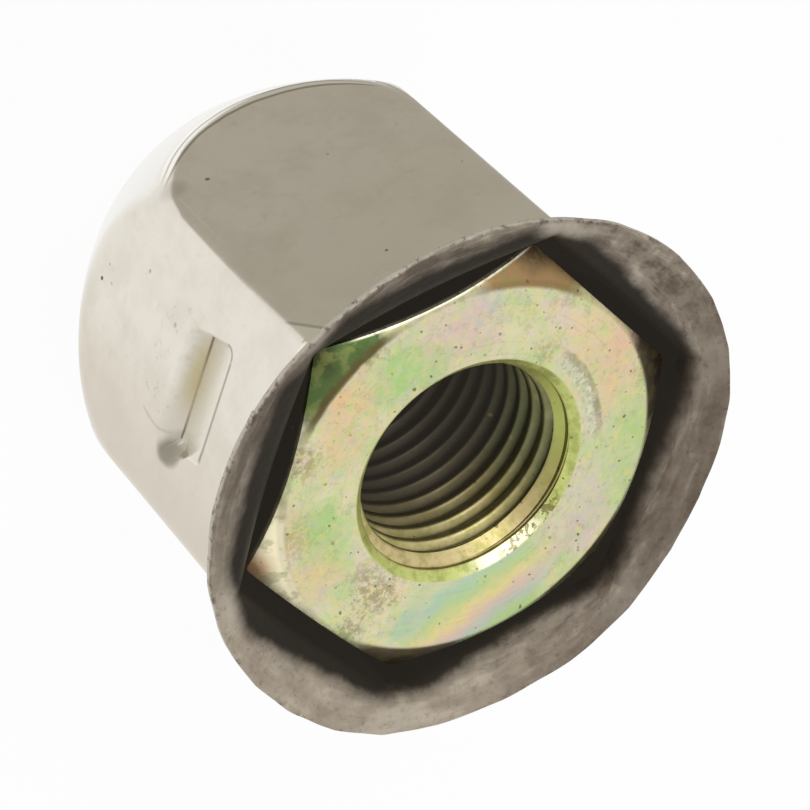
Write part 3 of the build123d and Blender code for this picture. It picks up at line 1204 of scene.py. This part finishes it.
        uneven = (paint.cloud(0.5, 4.0, 0.7, 37.0) - 0.5) * 0.3
        lip = paint.rise(edge + uneven, 0.32, 0.14)
        paint.cover(lip * 0.75, self.edge_metal)
        chips = paint.rise(paint.cloud(0.7, 4.0, 0.75, 38.0), 0.54, 0.62)
        rim = paint.rise(edge, 0.55, 0.25)
        paint.cover(chips * rim * 0.6, self.soot_and_shade)
        return streaks, soot_and_gap_shade


# ----------------------------------------------------------------------------
# Pieces
# ----------------------------------------------------------------------------

@dataclass
class StakeForm:
    """A dent pressed into a flat: a tab that ramps in from the flange side to a sharp crease.

    The dent leans: its middle moves along the flat between the crease and the tab's far line, and
    both lines rise a little along the flat. It is laid out upright and then leaned.
    """

    crease_middle: float = 0.20
    tab_middle: float = -0.50
    tilt: float = -0.03
    near_half: float = 3.56
    far_half: float = 3.95
    crease: float = 18.55
    tab_rise: float = 3.5
    bowl_drop: float = 1.0
    depth: float = 0.9875
    tab_corner: float = 0.75
    near_inset: float = 0.14
    far_inset: float = 0.85
    held_across: Point3 = (-4.0, 4.0, 2.2)
    held_up: Point3 = (17.2, 22.6, 1.6)

    def press(self, across: float, height: float) -> float:
        """How deep the dent is at a place on the upright layout.

        Args:
            across: Place along the flat, from the dent's middle.
            height: Height above the crown.

        Returns:
            The depth, 0 outside the dent.
        """
        if height >= self.crease:
            share = 1 - (height - self.crease) / self.tab_rise
        else:
            share = 1 - (self.crease - height) / self.bowl_drop
            share = max(share, 0.0) ** 1.5
        if share <= 0:
            return 0.0
        limit, inset = self.near_half, self.near_inset
        if across > 0:
            lift = height - self.crease
            limit = min(self.far_half + 0.1 * lift, self.far_half + 1.0 - 0.56 * lift)
            inset = self.far_inset
        elif height > self.crease:
            lift = max(0.0, height - (self.crease + self.tab_rise - self.tab_corner))
            limit -= self.tab_corner - sqrt(max(0.0, self.tab_corner**2 - lift**2))
        end = min(1.0, max(0.0, (limit - abs(across)) / inset))
        return self.depth * share * end * end * (3 - 2 * end)

    def lean(self, across: float, height: float) -> Point2:
        """How far a place on the upright layout moves along the flat and up it.

        Args:
            across: Place along the flat.
            height: Height above the crown.

        Returns:
            Both shifts, which fade to nothing away from the dent.
        """
        def near(value: float, low: float, high: float, fade: float) -> float:
            """1 between two values, falling to 0 beyond them."""
            beyond = max(low - value, value - high, 0.0)
            return max(0.0, 1 - beyond / fade)

        hold = near(across, *self.held_across) * near(height, *self.held_up)
        share = min(1.0, max(0.0, (height - self.crease) / self.tab_rise))
        middle = self.crease_middle + (self.tab_middle - self.crease_middle) * share
        return middle * hold, self.tilt * across * hold


@dataclass
class HexNut:
    """The plated steel nut with its chamfered corners, countersink and cut thread."""

    across_flats: float = 22.225
    length: float = 16.0
    top: float = 27.7
    face_radius: float = 10.95
    chamfer_angle: float = 33.0
    face_rounding: float = 0.35
    corner_rounding: float = 0.25
    edge_rounding: float = 0.09
    mouth_radius: float = 6.78
    mouth_rounding: float = 0.12
    ring_radius: float = 6.28
    ring_depth: float = 0.30
    minor_radius: float = 5.75
    major_radius: float = 6.35
    pitch: float = 1.27
    pocket_play: float = 0.18
    pocket_height: float = 1.8
    pocket_slack: float = 0.3
    pocket_taper: float = 0.3
    bevel_angle: float = 35.0
    smooth_angle: float = 32.0
    segments: int = 192
    thread_steps: int = 96

    @property
    def bottom(self) -> float:
        """Height of the nut's lower face."""
        return self.top - self.length

    def build(self, stake: StakeForm) -> bpy.types.Object:
        """Builds the nut.

        Args:
            stake: The dents that bite the nut's flats.

        Returns:
            The finished mesh object.
        """
        nut = self._bar()
        combine(nut, self._envelope(), "INTERSECT")
        with_modifier(
            nut, "BEVEL", width=self.edge_rounding, segments=2, limit_method="ANGLE",
            angle_limit=radians(self.bevel_angle), use_clamp_overlap=True,
        )
        combine(nut, self._drill(), "DIFFERENCE")
        combine(nut, self._tap(), "DIFFERENCE")
        for index in range(STAKE_COUNT):
            combine(nut, self._pocket(stake, index), "DIFFERENCE")
        close_up(nut, WELD)
        to_frame(nut)
        bpy.ops.object.shade_smooth_by_angle(angle=radians(self.smooth_angle))
        return nut

    def _bar(self) -> bpy.types.Object:
        """A hex bar with softened corners.

        Returns:
            The mesh object that is cut to shape.
        """
        bar = added(
            bpy.ops.mesh.primitive_cylinder_add, "plated_hex_nut", vertices=HEX_SIDES,
            radius=self.across_flats / 2 / cos(pi / HEX_SIDES), depth=self.length,
            location=(0, 0, self.top - self.length / 2), rotation=(0, 0, pi / HEX_SIDES),
        )
        settle(bar)
        with editing(bar):
            select(bar, "EDGE", lambda one, other: abs(one.z - other.z) > 1)
            bpy.ops.mesh.bevel(offset=self.corner_rounding, segments=3, affect="EDGES")
        return bar

    def _envelope(self) -> bpy.types.Object:
        """The turned form that chamfers the corners at both ends.

        Returns:
            The mesh object that the bar is kept inside.
        """
        slope = radians(self.chamfer_angle)
        reach = self.across_flats
        drop = (reach - self.face_radius) * tan(slope)
        radius = self.face_rounding * 2
        centre_x = self.face_radius - radius * tan(slope / 2)
        upper = arc((centre_x, self.top - radius), radius, pi / 2 - slope, pi / 2, 4)
        lower = [(r, self.top + self.bottom - z) for r, z in reversed(upper)]
        outline = [*lower, (reach, self.bottom + drop), (reach, self.top - drop), *upper]
        return turned("nut_envelope", outline, self.segments)

    def _drill(self) -> bpy.types.Object:
        """The drilled and countersunk hole, up to the thread's minor diameter.

        Returns:
            The mesh object to be cut away.
        """
        run = self.mouth_radius - self.ring_radius
        ring_top = self.top - run
        ring_bottom = ring_top - self.ring_depth
        rounding = self.mouth_rounding
        lip = [
            (self.mouth_radius - rounding * 0.7, self.top - rounding * 0.7),
            (self.mouth_radius - rounding * 0.15, self.top - rounding * 0.25),
            (self.mouth_radius + rounding * 0.7, self.top + 0.0001),
        ]
        outline = [
            (self.mouth_radius + 1, self.bottom - 1),
            (self.mouth_radius, self.bottom),
            (self.minor_radius, self.bottom + self.mouth_radius - self.minor_radius),
            (self.minor_radius, ring_bottom - (self.ring_radius - self.minor_radius)),
            (self.ring_radius, ring_bottom),
            (self.ring_radius, ring_top),
            *lip,
            (self.mouth_radius + 1, self.top + 1),
        ]
        return turned("nut_drill", outline, self.segments)

    def _tap(self) -> bpy.types.Object:
        """The helical groove of the thread, as a closed solid.

        Returns:
            The mesh object to be cut away.
        """
        start = self.bottom - 2 * self.pitch
        section = self._groove()
        section = section + [(radius, -rise) for radius, rise in reversed(section)]
        tap = added(
            bpy.ops.mesh.primitive_circle_add, "nut_tap", vertices=len(section), radius=1,
            fill_type="NOTHING",
        )
        for vertex, (radius, rise) in zip(tap.data.vertices, section):
            vertex.co = (radius, 0, start + rise)
        turns = int((self.length + 3 * self.pitch) / self.pitch)
        with_modifier(
            tap, "SCREW", angle=FULL_TURN, screw_offset=self.pitch, iterations=turns,
            steps=self.thread_steps, render_steps=self.thread_steps, use_merge_vertices=False,
        )
        with editing(tap):
            bpy.ops.mesh.select_mode(type="EDGE")
            bpy.ops.mesh.select_non_manifold()
            bpy.ops.mesh.fill_holes(sides=0)
            bpy.ops.mesh.select_all(action="SELECT")
            bpy.ops.mesh.normals_make_consistent(inside=False)
        return tap

    def _groove(self) -> list[Point2]:
        """Half of the groove's section as (radius, rise) points, from its crest to its root.

        Returns:
            The points.
        """
        root_half = self.pitch / 16
        flank = tan(radians(30))

        def half_width(radius: float) -> float:
            """Half of the groove's width on its straight flank."""
            return root_half + (self.major_radius - radius) * flank

        minor = self.minor_radius
        crest_half = self.pitch / 2
        return [
            (minor - 0.35, crest_half - 0.075),
            (minor - 0.006, crest_half - 0.095),
            (minor + 0.02, half_width(minor) + 0.035),
            (minor + 0.07, half_width(minor + 0.07) + 0.012),
            (minor + 0.15, half_width(minor + 0.15)),
            (self.major_radius, root_half),
        ]

    def _pocket(self, stake: StakeForm, index: int) -> bpy.types.Object:
        """The room that one dent of the cap takes up in a flat of the nut.

        Args:
            stake: The dent.
            index: Which of the three staked flats, 0 for the one that faces -Y.

        Returns:
            The wedge to be cut away.
        """
        tip = self.across_flats / 2 - self.pocket_play
        back = self.across_flats / 2 + self.pocket_play
        width = stake.near_half + stake.far_half + self.pocket_slack
        size = (width, back - tip, self.pocket_height)
        pocket = added(
            bpy.ops.mesh.primitive_cube_add, "nut_pocket", size=1, scale=size,
            location=(stake.crease_middle, -(tip + back) / 2, stake.crease),
        )
        settle(pocket)
        with editing(pocket):
            select(pocket, "VERT", lambda place: place.y > -(tip + back) / 2)
            bpy.ops.transform.resize(
                value=(1, 1, self.pocket_taper),
                center_override=(stake.crease_middle, -tip, stake.crease),
            )
        pocket.rotation_euler = (0, 0, FULL_TURN / STAKE_COUNT * index)
        settle(pocket)
        return pocket

    def dress(self, nut: bpy.types.Object) -> None:
        """Gives the nut its plating.

        Args:
            nut: The nut's mesh object.
        """
        finish = YellowZinc(
            self.top, self.face_radius, self.across_flats / 2, tan(radians(self.chamfer_angle)),
            self.mouth_radius, self.ring_radius, self.minor_radius, self.ring_depth,
        )
        nut.data.materials.clear()
        nut.data.materials.append(finish.paint())


@dataclass
class SheetCap:
    """The drawn sheet cap: crown, dome, hex skirt, bend and dished flange, with three stakes."""

    height: float = 28.7
    across_flats: float = 25.4
    wall: float = 0.70
    corner_radius: float = 0.95
    dome_margin: float = 1.80
    dome_depth: float = 21.9
    crown_radius: float = 7.25
    crown_flat: float = 4.6
    blend_radius: float = 2.4
    corner_blend: float = 13.0
    corner_fade: float = 2.8
    inner_blend: float = 0.1
    flange_radius: float = 15.49
    dish_angle: float = 15.0
    bend_radius: float = 0.60
    edge_thickness: float = 0.40
    edge_taper: float = 1.2
    edge_rounding: float = 0.12
    corner_columns: int = 8
    bend_steps: int = 8
    edge_steps: int = 3
    crown_steps: int = 14
    shoulder_steps: int = 22
    blend_steps: int = 6
    far_off: float = 50.0
    off_flat: Point3 = (99.0, 99.0, 0.0)
    skirt_shares: tuple[float, ...] = (0.015, 0.04, 0.08, 0.2, 0.4, 0.6, 0.8)
    crown_shares: tuple[float, ...] = (0.0, 0.3, 0.6, 0.85, 0.97)
    flange_shares: tuple[float, ...] = (0.06, 0.14, 0.25, 0.4, 0.55, 0.7, 0.85, 0.97)
    inner_neck_shares: tuple[float, ...] = (0.03, 0.2, 0.6)
    inner_skirt_shares: tuple[float, ...] = (0.25, 0.5, 0.75, 0.97)
    neck_shares: tuple[float, ...] = (0.3, 0.6, 0.85, 0.97)
    underside_shares: tuple[float, ...] = (0.04, 0.15, 0.3, 0.45, 0.6, 0.72, 0.82, 0.91)
    flat_stations: tuple[float, ...] = (
        -6.6, -6.3, -5.8, -5.2, -4.7, -4.2, -3.9, -3.75, -3.66, -3.6, -3.55, -3.5, -3.45, -3.4,
        -3.34, -3.26, -3.16, -3.03, -2.9, -2.7, -2.4, -2.0, -1.5, -1.0, -0.5, 0.0, 0.5, 1.0, 1.5,
        1.9, 2.2, 2.4, 2.55, 2.7, 2.84, 2.96, 3.06, 3.14, 3.22, 3.3, 3.38, 3.46, 3.54, 3.62, 3.7,
        3.78, 3.86, 3.95, 4.05, 4.2, 4.6, 5.2, 5.8, 6.3, 6.6,
    )
    stake_rows: tuple[float, ...] = (
        17.2, 17.5, 17.65, 17.73, 17.78, 17.85, 17.95, 18.05, 18.15, 18.25, 18.34, 18.42, 18.48,
        18.52, 18.55, 18.58, 18.63, 18.72, 18.9, 19.2, 19.6, 20.0, 20.4, 20.8, 21.1, 21.3, 21.45,
        21.58, 21.7, 21.8, 21.88, 21.94, 22.0, 22.05, 22.1, 22.18, 22.3, 22.6,
    )
    rim_lobes: tuple[tuple[int, float, float], ...] = (
        (1, 0.22, 15.0), (2, 0.20, -47.0), (3, 0.11, 26.0), (4, 0.02, -10.0),
        (5, 0.05, -20.0), (6, 0.03, -8.0), (7, 0.04, 0.0),
    )
    burr_direction: float = -105.0
    burr_spread: float = 2.5
    burr_height: float = 0.12
    raggedness: float = 0.05
    rim_margin: float = 0.03
    rim_facets: int = 26
    # corner rounding of the mouth outline that bounds the painted black of the gap
    gap_shade_corner: float = 4.0
    smooth_angle: float = 50.0

    @property
    def half_flats(self) -> float:
        """Distance from the axis to a flat."""
        return self.across_flats / 2

    @property
    def dome_base(self) -> float:
        """Radius from which the dome springs."""
        return self.half_flats / cos(pi / HEX_SIDES) + self.dome_margin

    @property
    def shoulder(self) -> tuple[float, Point2]:
        """Radius and centre of the dome's long shoulder arc.

        Returns:
            The radius, and the centre as a (radius, height) point.
        """
        run = self.dome_base - self.crown_flat
        rise = self.dome_depth - self.crown_radius
        radius = (run**2 + rise**2 - self.crown_radius**2) / (2 * (run - self.crown_radius))
        return radius, (self.dome_base - radius, self.dome_depth)

    def columns(self) -> list[float]:
        """Angles of the mesh's columns, closer together at the corners and the stakes' ends.

        Returns:
            Angles in radians, from the middle of the corner at -X.
        """
        centre = (self.half_flats - self.corner_radius) * tan(pi / HEX_SIDES)
        turns = []
        for side in range(HEX_SIDES):
            normal = -5 * pi / 6 + side * FULL_TURN / HEX_SIDES
            for place in self.flat_stations:
                turns.append(normal + atan2(place, self.half_flats))
            for step in range(self.corner_columns):
                swing = (step + 0.5) / self.corner_columns * pi / 3
                across = centre + self.corner_radius * sin(swing)
                out = self.half_flats - self.corner_radius * (1 - cos(swing))
                turns.append(normal + atan2(across, out))
        return turns

    @staticmethod
    def swing(turn: float) -> float:
        """Angle from the middle of the nearest flat."""
        return (turn + pi / 2 + SIDE_TURN / 2) % SIDE_TURN - SIDE_TURN / 2

    def hex_radius(self, turn: float, inset: float, corner: float = 0.0) -> float:
        """Distance from the axis to the rounded hex at an angle.

        Args:
            turn: Angle round the axis.
            inset: How far inside the sheet's outer face.
            corner: Radius of the corners, or 0 for the skirt's own.

        Returns:
            The distance.
        """
        flat = self.half_flats - inset
        rounding = corner if corner > 0 else self.corner_radius - inset
        swing = abs(self.swing(turn))
        if tan(swing) * flat <= (flat - rounding) * tan(pi / HEX_SIDES):
            return flat / cos(swing)
        middle = (flat - rounding) / cos(pi / HEX_SIDES)
        away = SIDE_TURN / 2 - swing
        return middle * cos(away) + sqrt(rounding**2 - (middle * sin(away)) ** 2)

    def rim_radius(self, turn: float) -> float:
        """Radius of the uneven, slightly ragged rim at an angle.

        Args:
            turn: Angle round the axis.

        Returns:
            The radius.
        """
        radius = self.flange_radius
        for waves, height, direction in self.rim_lobes:
            radius += height * cos(waves * (turn - radians(direction)))
        facet = pi / self.rim_facets
        warp = 0.5 * sin(3 * turn + 1.0) * facet
        radius *= cos(facet) / cos((turn + warp) % (2 * facet) - facet) * 0.5 + 0.5
        ragged = noise.noise(Vector((cos(turn) * 9, sin(turn) * 9, 4.0)))
        past_burr = (turn - radians(self.burr_direction)) % FULL_TURN
        burr = self.burr_height * max(0.0, 1 - past_burr / radians(self.burr_spread))
        return radius + self.raggedness * ragged + self.rim_margin + burr

    def dish_height(self, radius: float) -> float:
        """Height of the flange's upper face at a radius."""
        return self.height - (self.flange_radius - radius) * tan(radians(self.dish_angle))

    def dome_profile(self, hex_radius: float, inset: float, blend: float) -> list[Point2]:
        """Crown flat, crown arc, shoulder arc and blend, as far as the skirt.

        Args:
            hex_radius: Distance to the skirt in this direction.
            inset: How far inside the sheet's outer face.
            blend: Radius of the blend between dome and skirt.

        Returns:
            (radius, height) points from the axis outwards.
        """
        radius, (centre_r, centre_z) = self.shoulder
        to_crown = atan2(self.crown_radius - centre_z, self.crown_flat - centre_r)
        crown = arc(
            (self.crown_flat, self.crown_radius), self.crown_radius - inset, -pi / 2, to_crown,
            self.crown_steps,
        )
        radius -= inset
        reach = radius - blend
        blend_r = hex_radius - blend
        blend_z = centre_z - sqrt(reach**2 - (blend_r - centre_r) ** 2)
        to_blend = atan2(blend_z - centre_z, blend_r - centre_r)
        shoulder = arc((centre_r, centre_z), radius, to_crown, to_blend, self.shoulder_steps)
        rounding = arc((blend_r, blend_z), blend, to_blend, 0.0, self.blend_steps)
        flat = along((0.0, inset), crown[0], self.crown_shares)
        return [*flat, *crown[:-1], *shoulder[:-1], *rounding]

    def bend_profile(self, hex_radius: float, inset: float, radius: float) -> list[Point2]:
        """The bend from the skirt to the flange.

        Args:
            hex_radius: Distance to the skirt in this direction.
            inset: 0 for the outer face, the wall for the inner.
            radius: Radius of the bend.

        Returns:
            (radius, height) points from the skirt outwards.
        """
        slope = radians(self.dish_angle)
        drop = (self.wall - inset) / cos(slope)
        centre_r = hex_radius + radius
        centre_z = self.dish_height(centre_r) - drop - radius / cos(slope)
        return arc((centre_r, centre_z), radius, pi, pi / 2 + slope, self.bend_steps)

    def profile(self, turn: float) -> list[Point2]:
        """The sheet's closed outline in one direction, from the crown out and back inside.

        Args:
            turn: Angle round the axis.

        Returns:
            (radius, height) points.
        """
        outer_hex = self.hex_radius(turn, 0.0)
        inner_hex = self.hex_radius(turn, self.wall)
        near = max(0.0, 1 - self.corner_distance(turn) / self.corner_fade) ** 2
        dome = self.dome_profile(outer_hex, 0.0, self.blend_radius + self.corner_blend * near)
        bend = self.bend_profile(outer_hex, 0.0, self.bend_radius)
        low, high = dome[-1], (outer_hex, self.stake_rows[0])
        skirt = along(low, high, self.skirt_shares)
        skirt += [(outer_hex, row) for row in self.stake_rows]
        skirt += along((outer_hex, self.stake_rows[-1]), bend[0], self.neck_shares)

        rim = self.rim_radius(turn)
        slope = radians(self.dish_angle)
        rounding = self.edge_rounding
        middle = rim - rounding
        thin = self.edge_thickness / cos(slope)
        edge = arc((middle, self.dish_height(middle) - thin + rounding), rounding,
                   -pi / 2 + slope, 0.0, self.edge_steps)
        edge += arc((middle, self.dish_height(middle) - rounding), rounding,
                    0.0, pi / 2 + slope, self.edge_steps)
        underside = self._underside(bend[-1], middle)

        inner_bend = self.bend_profile(inner_hex, self.wall, self.bend_radius + self.wall)
        inner_bend.reverse()
        flange = along(edge[-1], inner_bend[0], self.flange_shares)
        inner_dome = self.dome_profile(inner_hex, self.wall, self.inner_blend)
        inner = along(inner_bend[-1], (inner_hex, self.stake_rows[-1]), self.inner_neck_shares)
        inner += [(inner_hex, row) for row in reversed(self.stake_rows)]
        inner += along((inner_hex, self.stake_rows[0]), inner_dome[-1], self.inner_skirt_shares)
        inner_dome.reverse()
        return [*dome, *skirt, *bend, *underside, *edge, *flange, *inner_bend, *inner, *inner_dome]

    def _underside(self, start: Point2, end_radius: float) -> list[Point2]:
        """The flange's lower face, where the sheet thins towards its trimmed edge.

        Args:
            start: The end of the bend.
            end_radius: Where the edge's rounding begins.

        Returns:
            (radius, height) points from the bend outwards.
        """
        full = self.wall / cos(radians(self.dish_angle))
        thin = self.edge_thickness / cos(radians(self.dish_angle))
        points = []
        for share in self.underside_shares:
            radius = start[0] + (end_radius - start[0]) * share
            near = min(1.0, max(0.0, 1 - (end_radius - radius) / self.edge_taper))
            drop = full + (thin - full) * near * near * (3 - 2 * near)
            points.append((radius, self.dish_height(radius) - drop))
        return points

    def outer_rows(self) -> int:
        """Number of profile points on the polished side, as far as the trimmed edge.

        Returns:
            The number.
        """
        dome = len(self.dome_profile(self.half_flats, 0.0, self.blend_radius))
        skirt = len(self.skirt_shares) + len(self.stake_rows) + len(self.neck_shares)
        return dome + skirt + self.bend_steps + 1 + len(self.underside_shares)

    def corner_distance(self, turn: float) -> float:
        """Distance along the skirt from the middle of the nearest corner."""
        away = SIDE_TURN / 2 - abs(self.swing(turn))
        return away * self.hex_radius(turn, 0.0)

    def _mark(
        self, cap: bpy.types.Object, turns: list[float], profiles: list[list[Point2]]
    ) -> None:
        """Keeps on the mesh what the finish needs to know about each vertex.

        Args:
            cap: The cap's mesh object.
            turns: Angle of each column.
            profiles: The (radius, height) points of each column.
        """
        outer = self.outer_rows()
        dome = self.dome_profile(self.half_flats, 0.0, self.blend_radius)
        crease = len(dome) - 1 - self.blend_steps // 2
        values = {name: [] for name in ("skin", "seam", "edge", "outset", "corner")}
        for column in range(len(turns) + 1):
            turn = turns[column % len(turns)]
            points = profiles[column % len(turns)]
            run = [0.0]
            for one, other in zip(points, points[1:]):
                run.append(run[-1] + hypot(other[0] - one[0], other[1] - one[1]))
            mouth = self.hex_radius(turn, self.wall, self.gap_shade_corner)
            for row, (radius, _) in enumerate(points):
                outside = row < outer
                values["skin"].append(0.0 if outside else 1.0)
                values["seam"].append(run[row] - run[crease] if outside else self.far_off)
                values["edge"].append(abs(run[row] - run[outer + self.edge_steps]))
                values["outset"].append(self.far_off if outside else radius - mouth)
                values["corner"].append(self.corner_distance(turn))
        for name, numbers in values.items():
            cap.data.attributes.new(name, "FLOAT", "POINT").data.foreach_set("value", numbers)

    def build(self, stake: StakeForm) -> bpy.types.Object:
        """Builds the cap by drawing a flat grid blank into shape.

        Args:
            stake: The dents pressed into every other flat.

        Returns:
            The finished mesh object.
        """
        turns = self.columns()
        profiles = [self.profile(turn) for turn in turns]
        rows = len(profiles[0])
        cap = added(
            bpy.ops.mesh.primitive_grid_add, "drawn_sheet_cap", x_subdivisions=rows - 1,
            y_subdivisions=len(turns), size=1,
        )
        for index, vertex in enumerate(cap.data.vertices):
            column, row = divmod(index, rows)
            turn = turns[column % len(turns)]
            radius, height = profiles[column % len(turns)][row]
            vertex.co = (radius * cos(turn), radius * sin(turn), height)
        self._mark(cap, turns, profiles)
        self._stake(cap, stake)
        close_up(cap, WELD)
        to_frame(cap)
        bpy.ops.object.shade_smooth_by_angle(angle=radians(self.smooth_angle))
        return cap

    def _stake(self, cap: bpy.types.Object, stake: StakeForm) -> None:
        """Presses the dents into every other flat, through both faces of the sheet.

        Args:
            cap: The cap's mesh object.
            stake: The dent.
        """
        places = [self.off_flat] * len(cap.data.vertices)
        for side in range(STAKE_COUNT):
            turn = FULL_TURN / STAKE_COUNT * side
            outward = Vector((sin(turn), -cos(turn), 0))
            sideways = Vector((cos(turn), sin(turn), 0))
            for index, vertex in enumerate(cap.data.vertices):
                out = vertex.co.dot(outward)
                if not self.half_flats - self.wall - 0.01 < out < self.half_flats + 0.01:
                    continue
                across, height = vertex.co.dot(sideways), vertex.co.z
                if abs(across) > self.half_flats:
                    continue
                slide, rise = stake.lean(across, height)
                vertex.co += sideways * slide + Vector((0, 0, rise))
                vertex.co -= outward * stake.press(across, height)
                places[index] = (across, height, 0.0)
        flat = cap.data.attributes.new("flat", "FLOAT_VECTOR", "POINT")
        flat.data.foreach_set("vector", [value for place in places for value in place])

    def dress(self, cap: bpy.types.Object) -> None:
        """Gives the cap its finish.

        Args:
            cap: The cap's mesh object.
        """
        cap.data.materials.clear()
        finish = DrawnStainless(StakeForm.crease, StakeForm.tab_rise)
        cap.data.materials.append(finish.paint())


# ----------------------------------------------------------------------------
# Studio
# ----------------------------------------------------------------------------

@dataclass
class SoftLight:
    """A soft rectangular light that faces the object."""

    name: str
    towards: Point3
    distance: float
    size: float
    level: float
    in_gloss: bool = True

    def hang(self, aim: Vector) -> None:
        """Adds the light to the scene.

        Args:
            aim: The point that it faces.
        """
        data = bpy.data.lights.new(self.name, "AREA")
        data.shape = "SQUARE"
        data.size = self.size
        data.energy = self.level * pi * self.size**2
        light = bpy.data.objects.new(self.name, data)
        bpy.context.collection.objects.link(light)
        direction = Vector(self.towards).normalized()
        light.location = aim + direction * self.distance
        light.rotation_euler = direction.to_track_quat("Z", "Y").to_euler()
        light.visible_camera = False
        light.visible_glossy = self.in_gloss


@dataclass
class StudioSet:
    """White floor, soft lights, a grey flag and the camera."""

    azimuth: float = -35.65
    elevation: float = 45.637
    roll: float = -135.376
    target: Point3 = (1.903, 2.737, 17.26)
    distance: float = 173.937
    lens: float = 140.08
    sensor_width: float = 36.0
    nearest: float = 0.01
    floor_size: float = 4.0
    floor_white: float = 0.95
    shine_share: float = 0.93
    world_level: float = 0.55
    flag_place: Point3 = (-0.0295, 0.006, 0.001)
    flag_size: Point3 = (0.033, 0.068, 1)
    flag_grey: Colour = (0.47, 0.45, 0.40)
    lights: tuple[SoftLight, ...] = (
        SoftLight("key_light", (-0.65, -0.3, 0.70), 0.45, 0.22, 3.2),
        SoftLight("top_light", (0.35, 0.5, 0.8), 0.6, 0.5, 1.2, False),
        SoftLight("side_fill", (0.5, -0.8, 0.35), 0.7, 0.4, 0.8, False),
    )

    def build(self) -> None:
        """Sets up everything that isn't the object."""
        self._floor()
        self._flag()
        self._world()
        aim = Vector(self.target) * MM
        for light in self.lights:
            light.hang(aim)
        self._camera(aim)
        bpy.context.scene.view_settings.view_transform = "Standard"

    def _floor(self) -> None:
        """A large white floor that keeps a soft shadow."""
        floor = added(bpy.ops.mesh.primitive_plane_add, "studio_floor", size=self.floor_size)
        paint = Paint("studio_white")
        paint.dress("Base Color", (self.floor_white,) * 3)
        paint.dress("Roughness", 0.9)
        paint.dress("Specular IOR Level", 0.0)
        glow = paint.node("ShaderNodeEmission", {}, {"Color": (1, 1, 1), "Strength": 1.0})
        paint.finish(paint.node("ShaderNodeMixShader", {}, {
            0: paint.seen() * self.shine_share, 1: Wire(paint, paint.surface.outputs[0]), 2: glow,
        }))
        floor.data.materials.append(paint.material)

    def _flag(self) -> None:
        """A low grey card, seen only in the metal, that shades one side of it."""
        flag = added(
            bpy.ops.mesh.primitive_plane_add, "grey_flag", size=1, location=self.flag_place
        )
        flag.scale = self.flag_size
        paint = Paint("flag_grey")
        paint.finish(
            paint.node("ShaderNodeEmission", {}, {"Color": self.flag_grey, "Strength": 1.0})
        )
        flag.data.materials.append(paint.material)
        flag.visible_camera = False
        flag.visible_diffuse = False
        flag.visible_shadow = False

    def _world(self) -> None:
        """Plain soft surroundings, white where they show."""
        world = bpy.data.worlds.new("studio_world")
        world.use_nodes = True
        bpy.context.scene.world = world
        shader = Shader(world.node_tree)
        background = shader.tree.nodes["Background"]
        shader.feed(background.inputs["Color"], (1, 1, 1))
        shader.feed(background.inputs["Strength"], shader.node("ShaderNodeMapRange", {}, {
            "Value": shader.seen(), "To Min": self.world_level,
        }))

    def _camera(self, aim: Vector) -> None:
        """The camera, rolled so that the nut's mouth faces the lower right.

        Args:
            aim: The point in the middle of the view.
        """
        data = bpy.data.cameras.new("camera")
        data.lens = self.lens
        data.sensor_width = self.sensor_width
        data.clip_start = self.nearest
        camera = bpy.data.objects.new("camera", data)
        bpy.context.collection.objects.link(camera)
        turn, lift = radians(self.azimuth), radians(self.elevation)
        back = Vector((sin(turn) * cos(lift), -cos(turn) * cos(lift), sin(lift)))
        camera.location = aim + back * self.distance * MM
        camera.rotation_mode = "QUATERNION"
        upright = (-back).to_track_quat("-Z", "Y")
        camera.rotation_quaternion = upright @ Quaternion((0, 0, 1), -radians(self.roll))
        bpy.context.scene.camera = camera


def main() -> None:
    """Builds the set and both pieces."""
    logging.basicConfig(level=logging.INFO, format="%(name)s: %(message)s")
    StudioSet().build()
    stake = StakeForm()

    nut_form = HexNut()
    nut = nut_form.build(stake)
    nut_form.dress(nut)
    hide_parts("hex_nut")
    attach(nut, "root")
    log.info("nut: %d faces", len(nut.data.polygons))

    cap_form = SheetCap()
    cap = cap_form.build(stake)
    cap_form.dress(cap)
    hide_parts("cap")
    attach(cap, "root")
    log.info("cap: %d faces", len(cap.data.polygons))


if __name__ == "__main__":
    main()
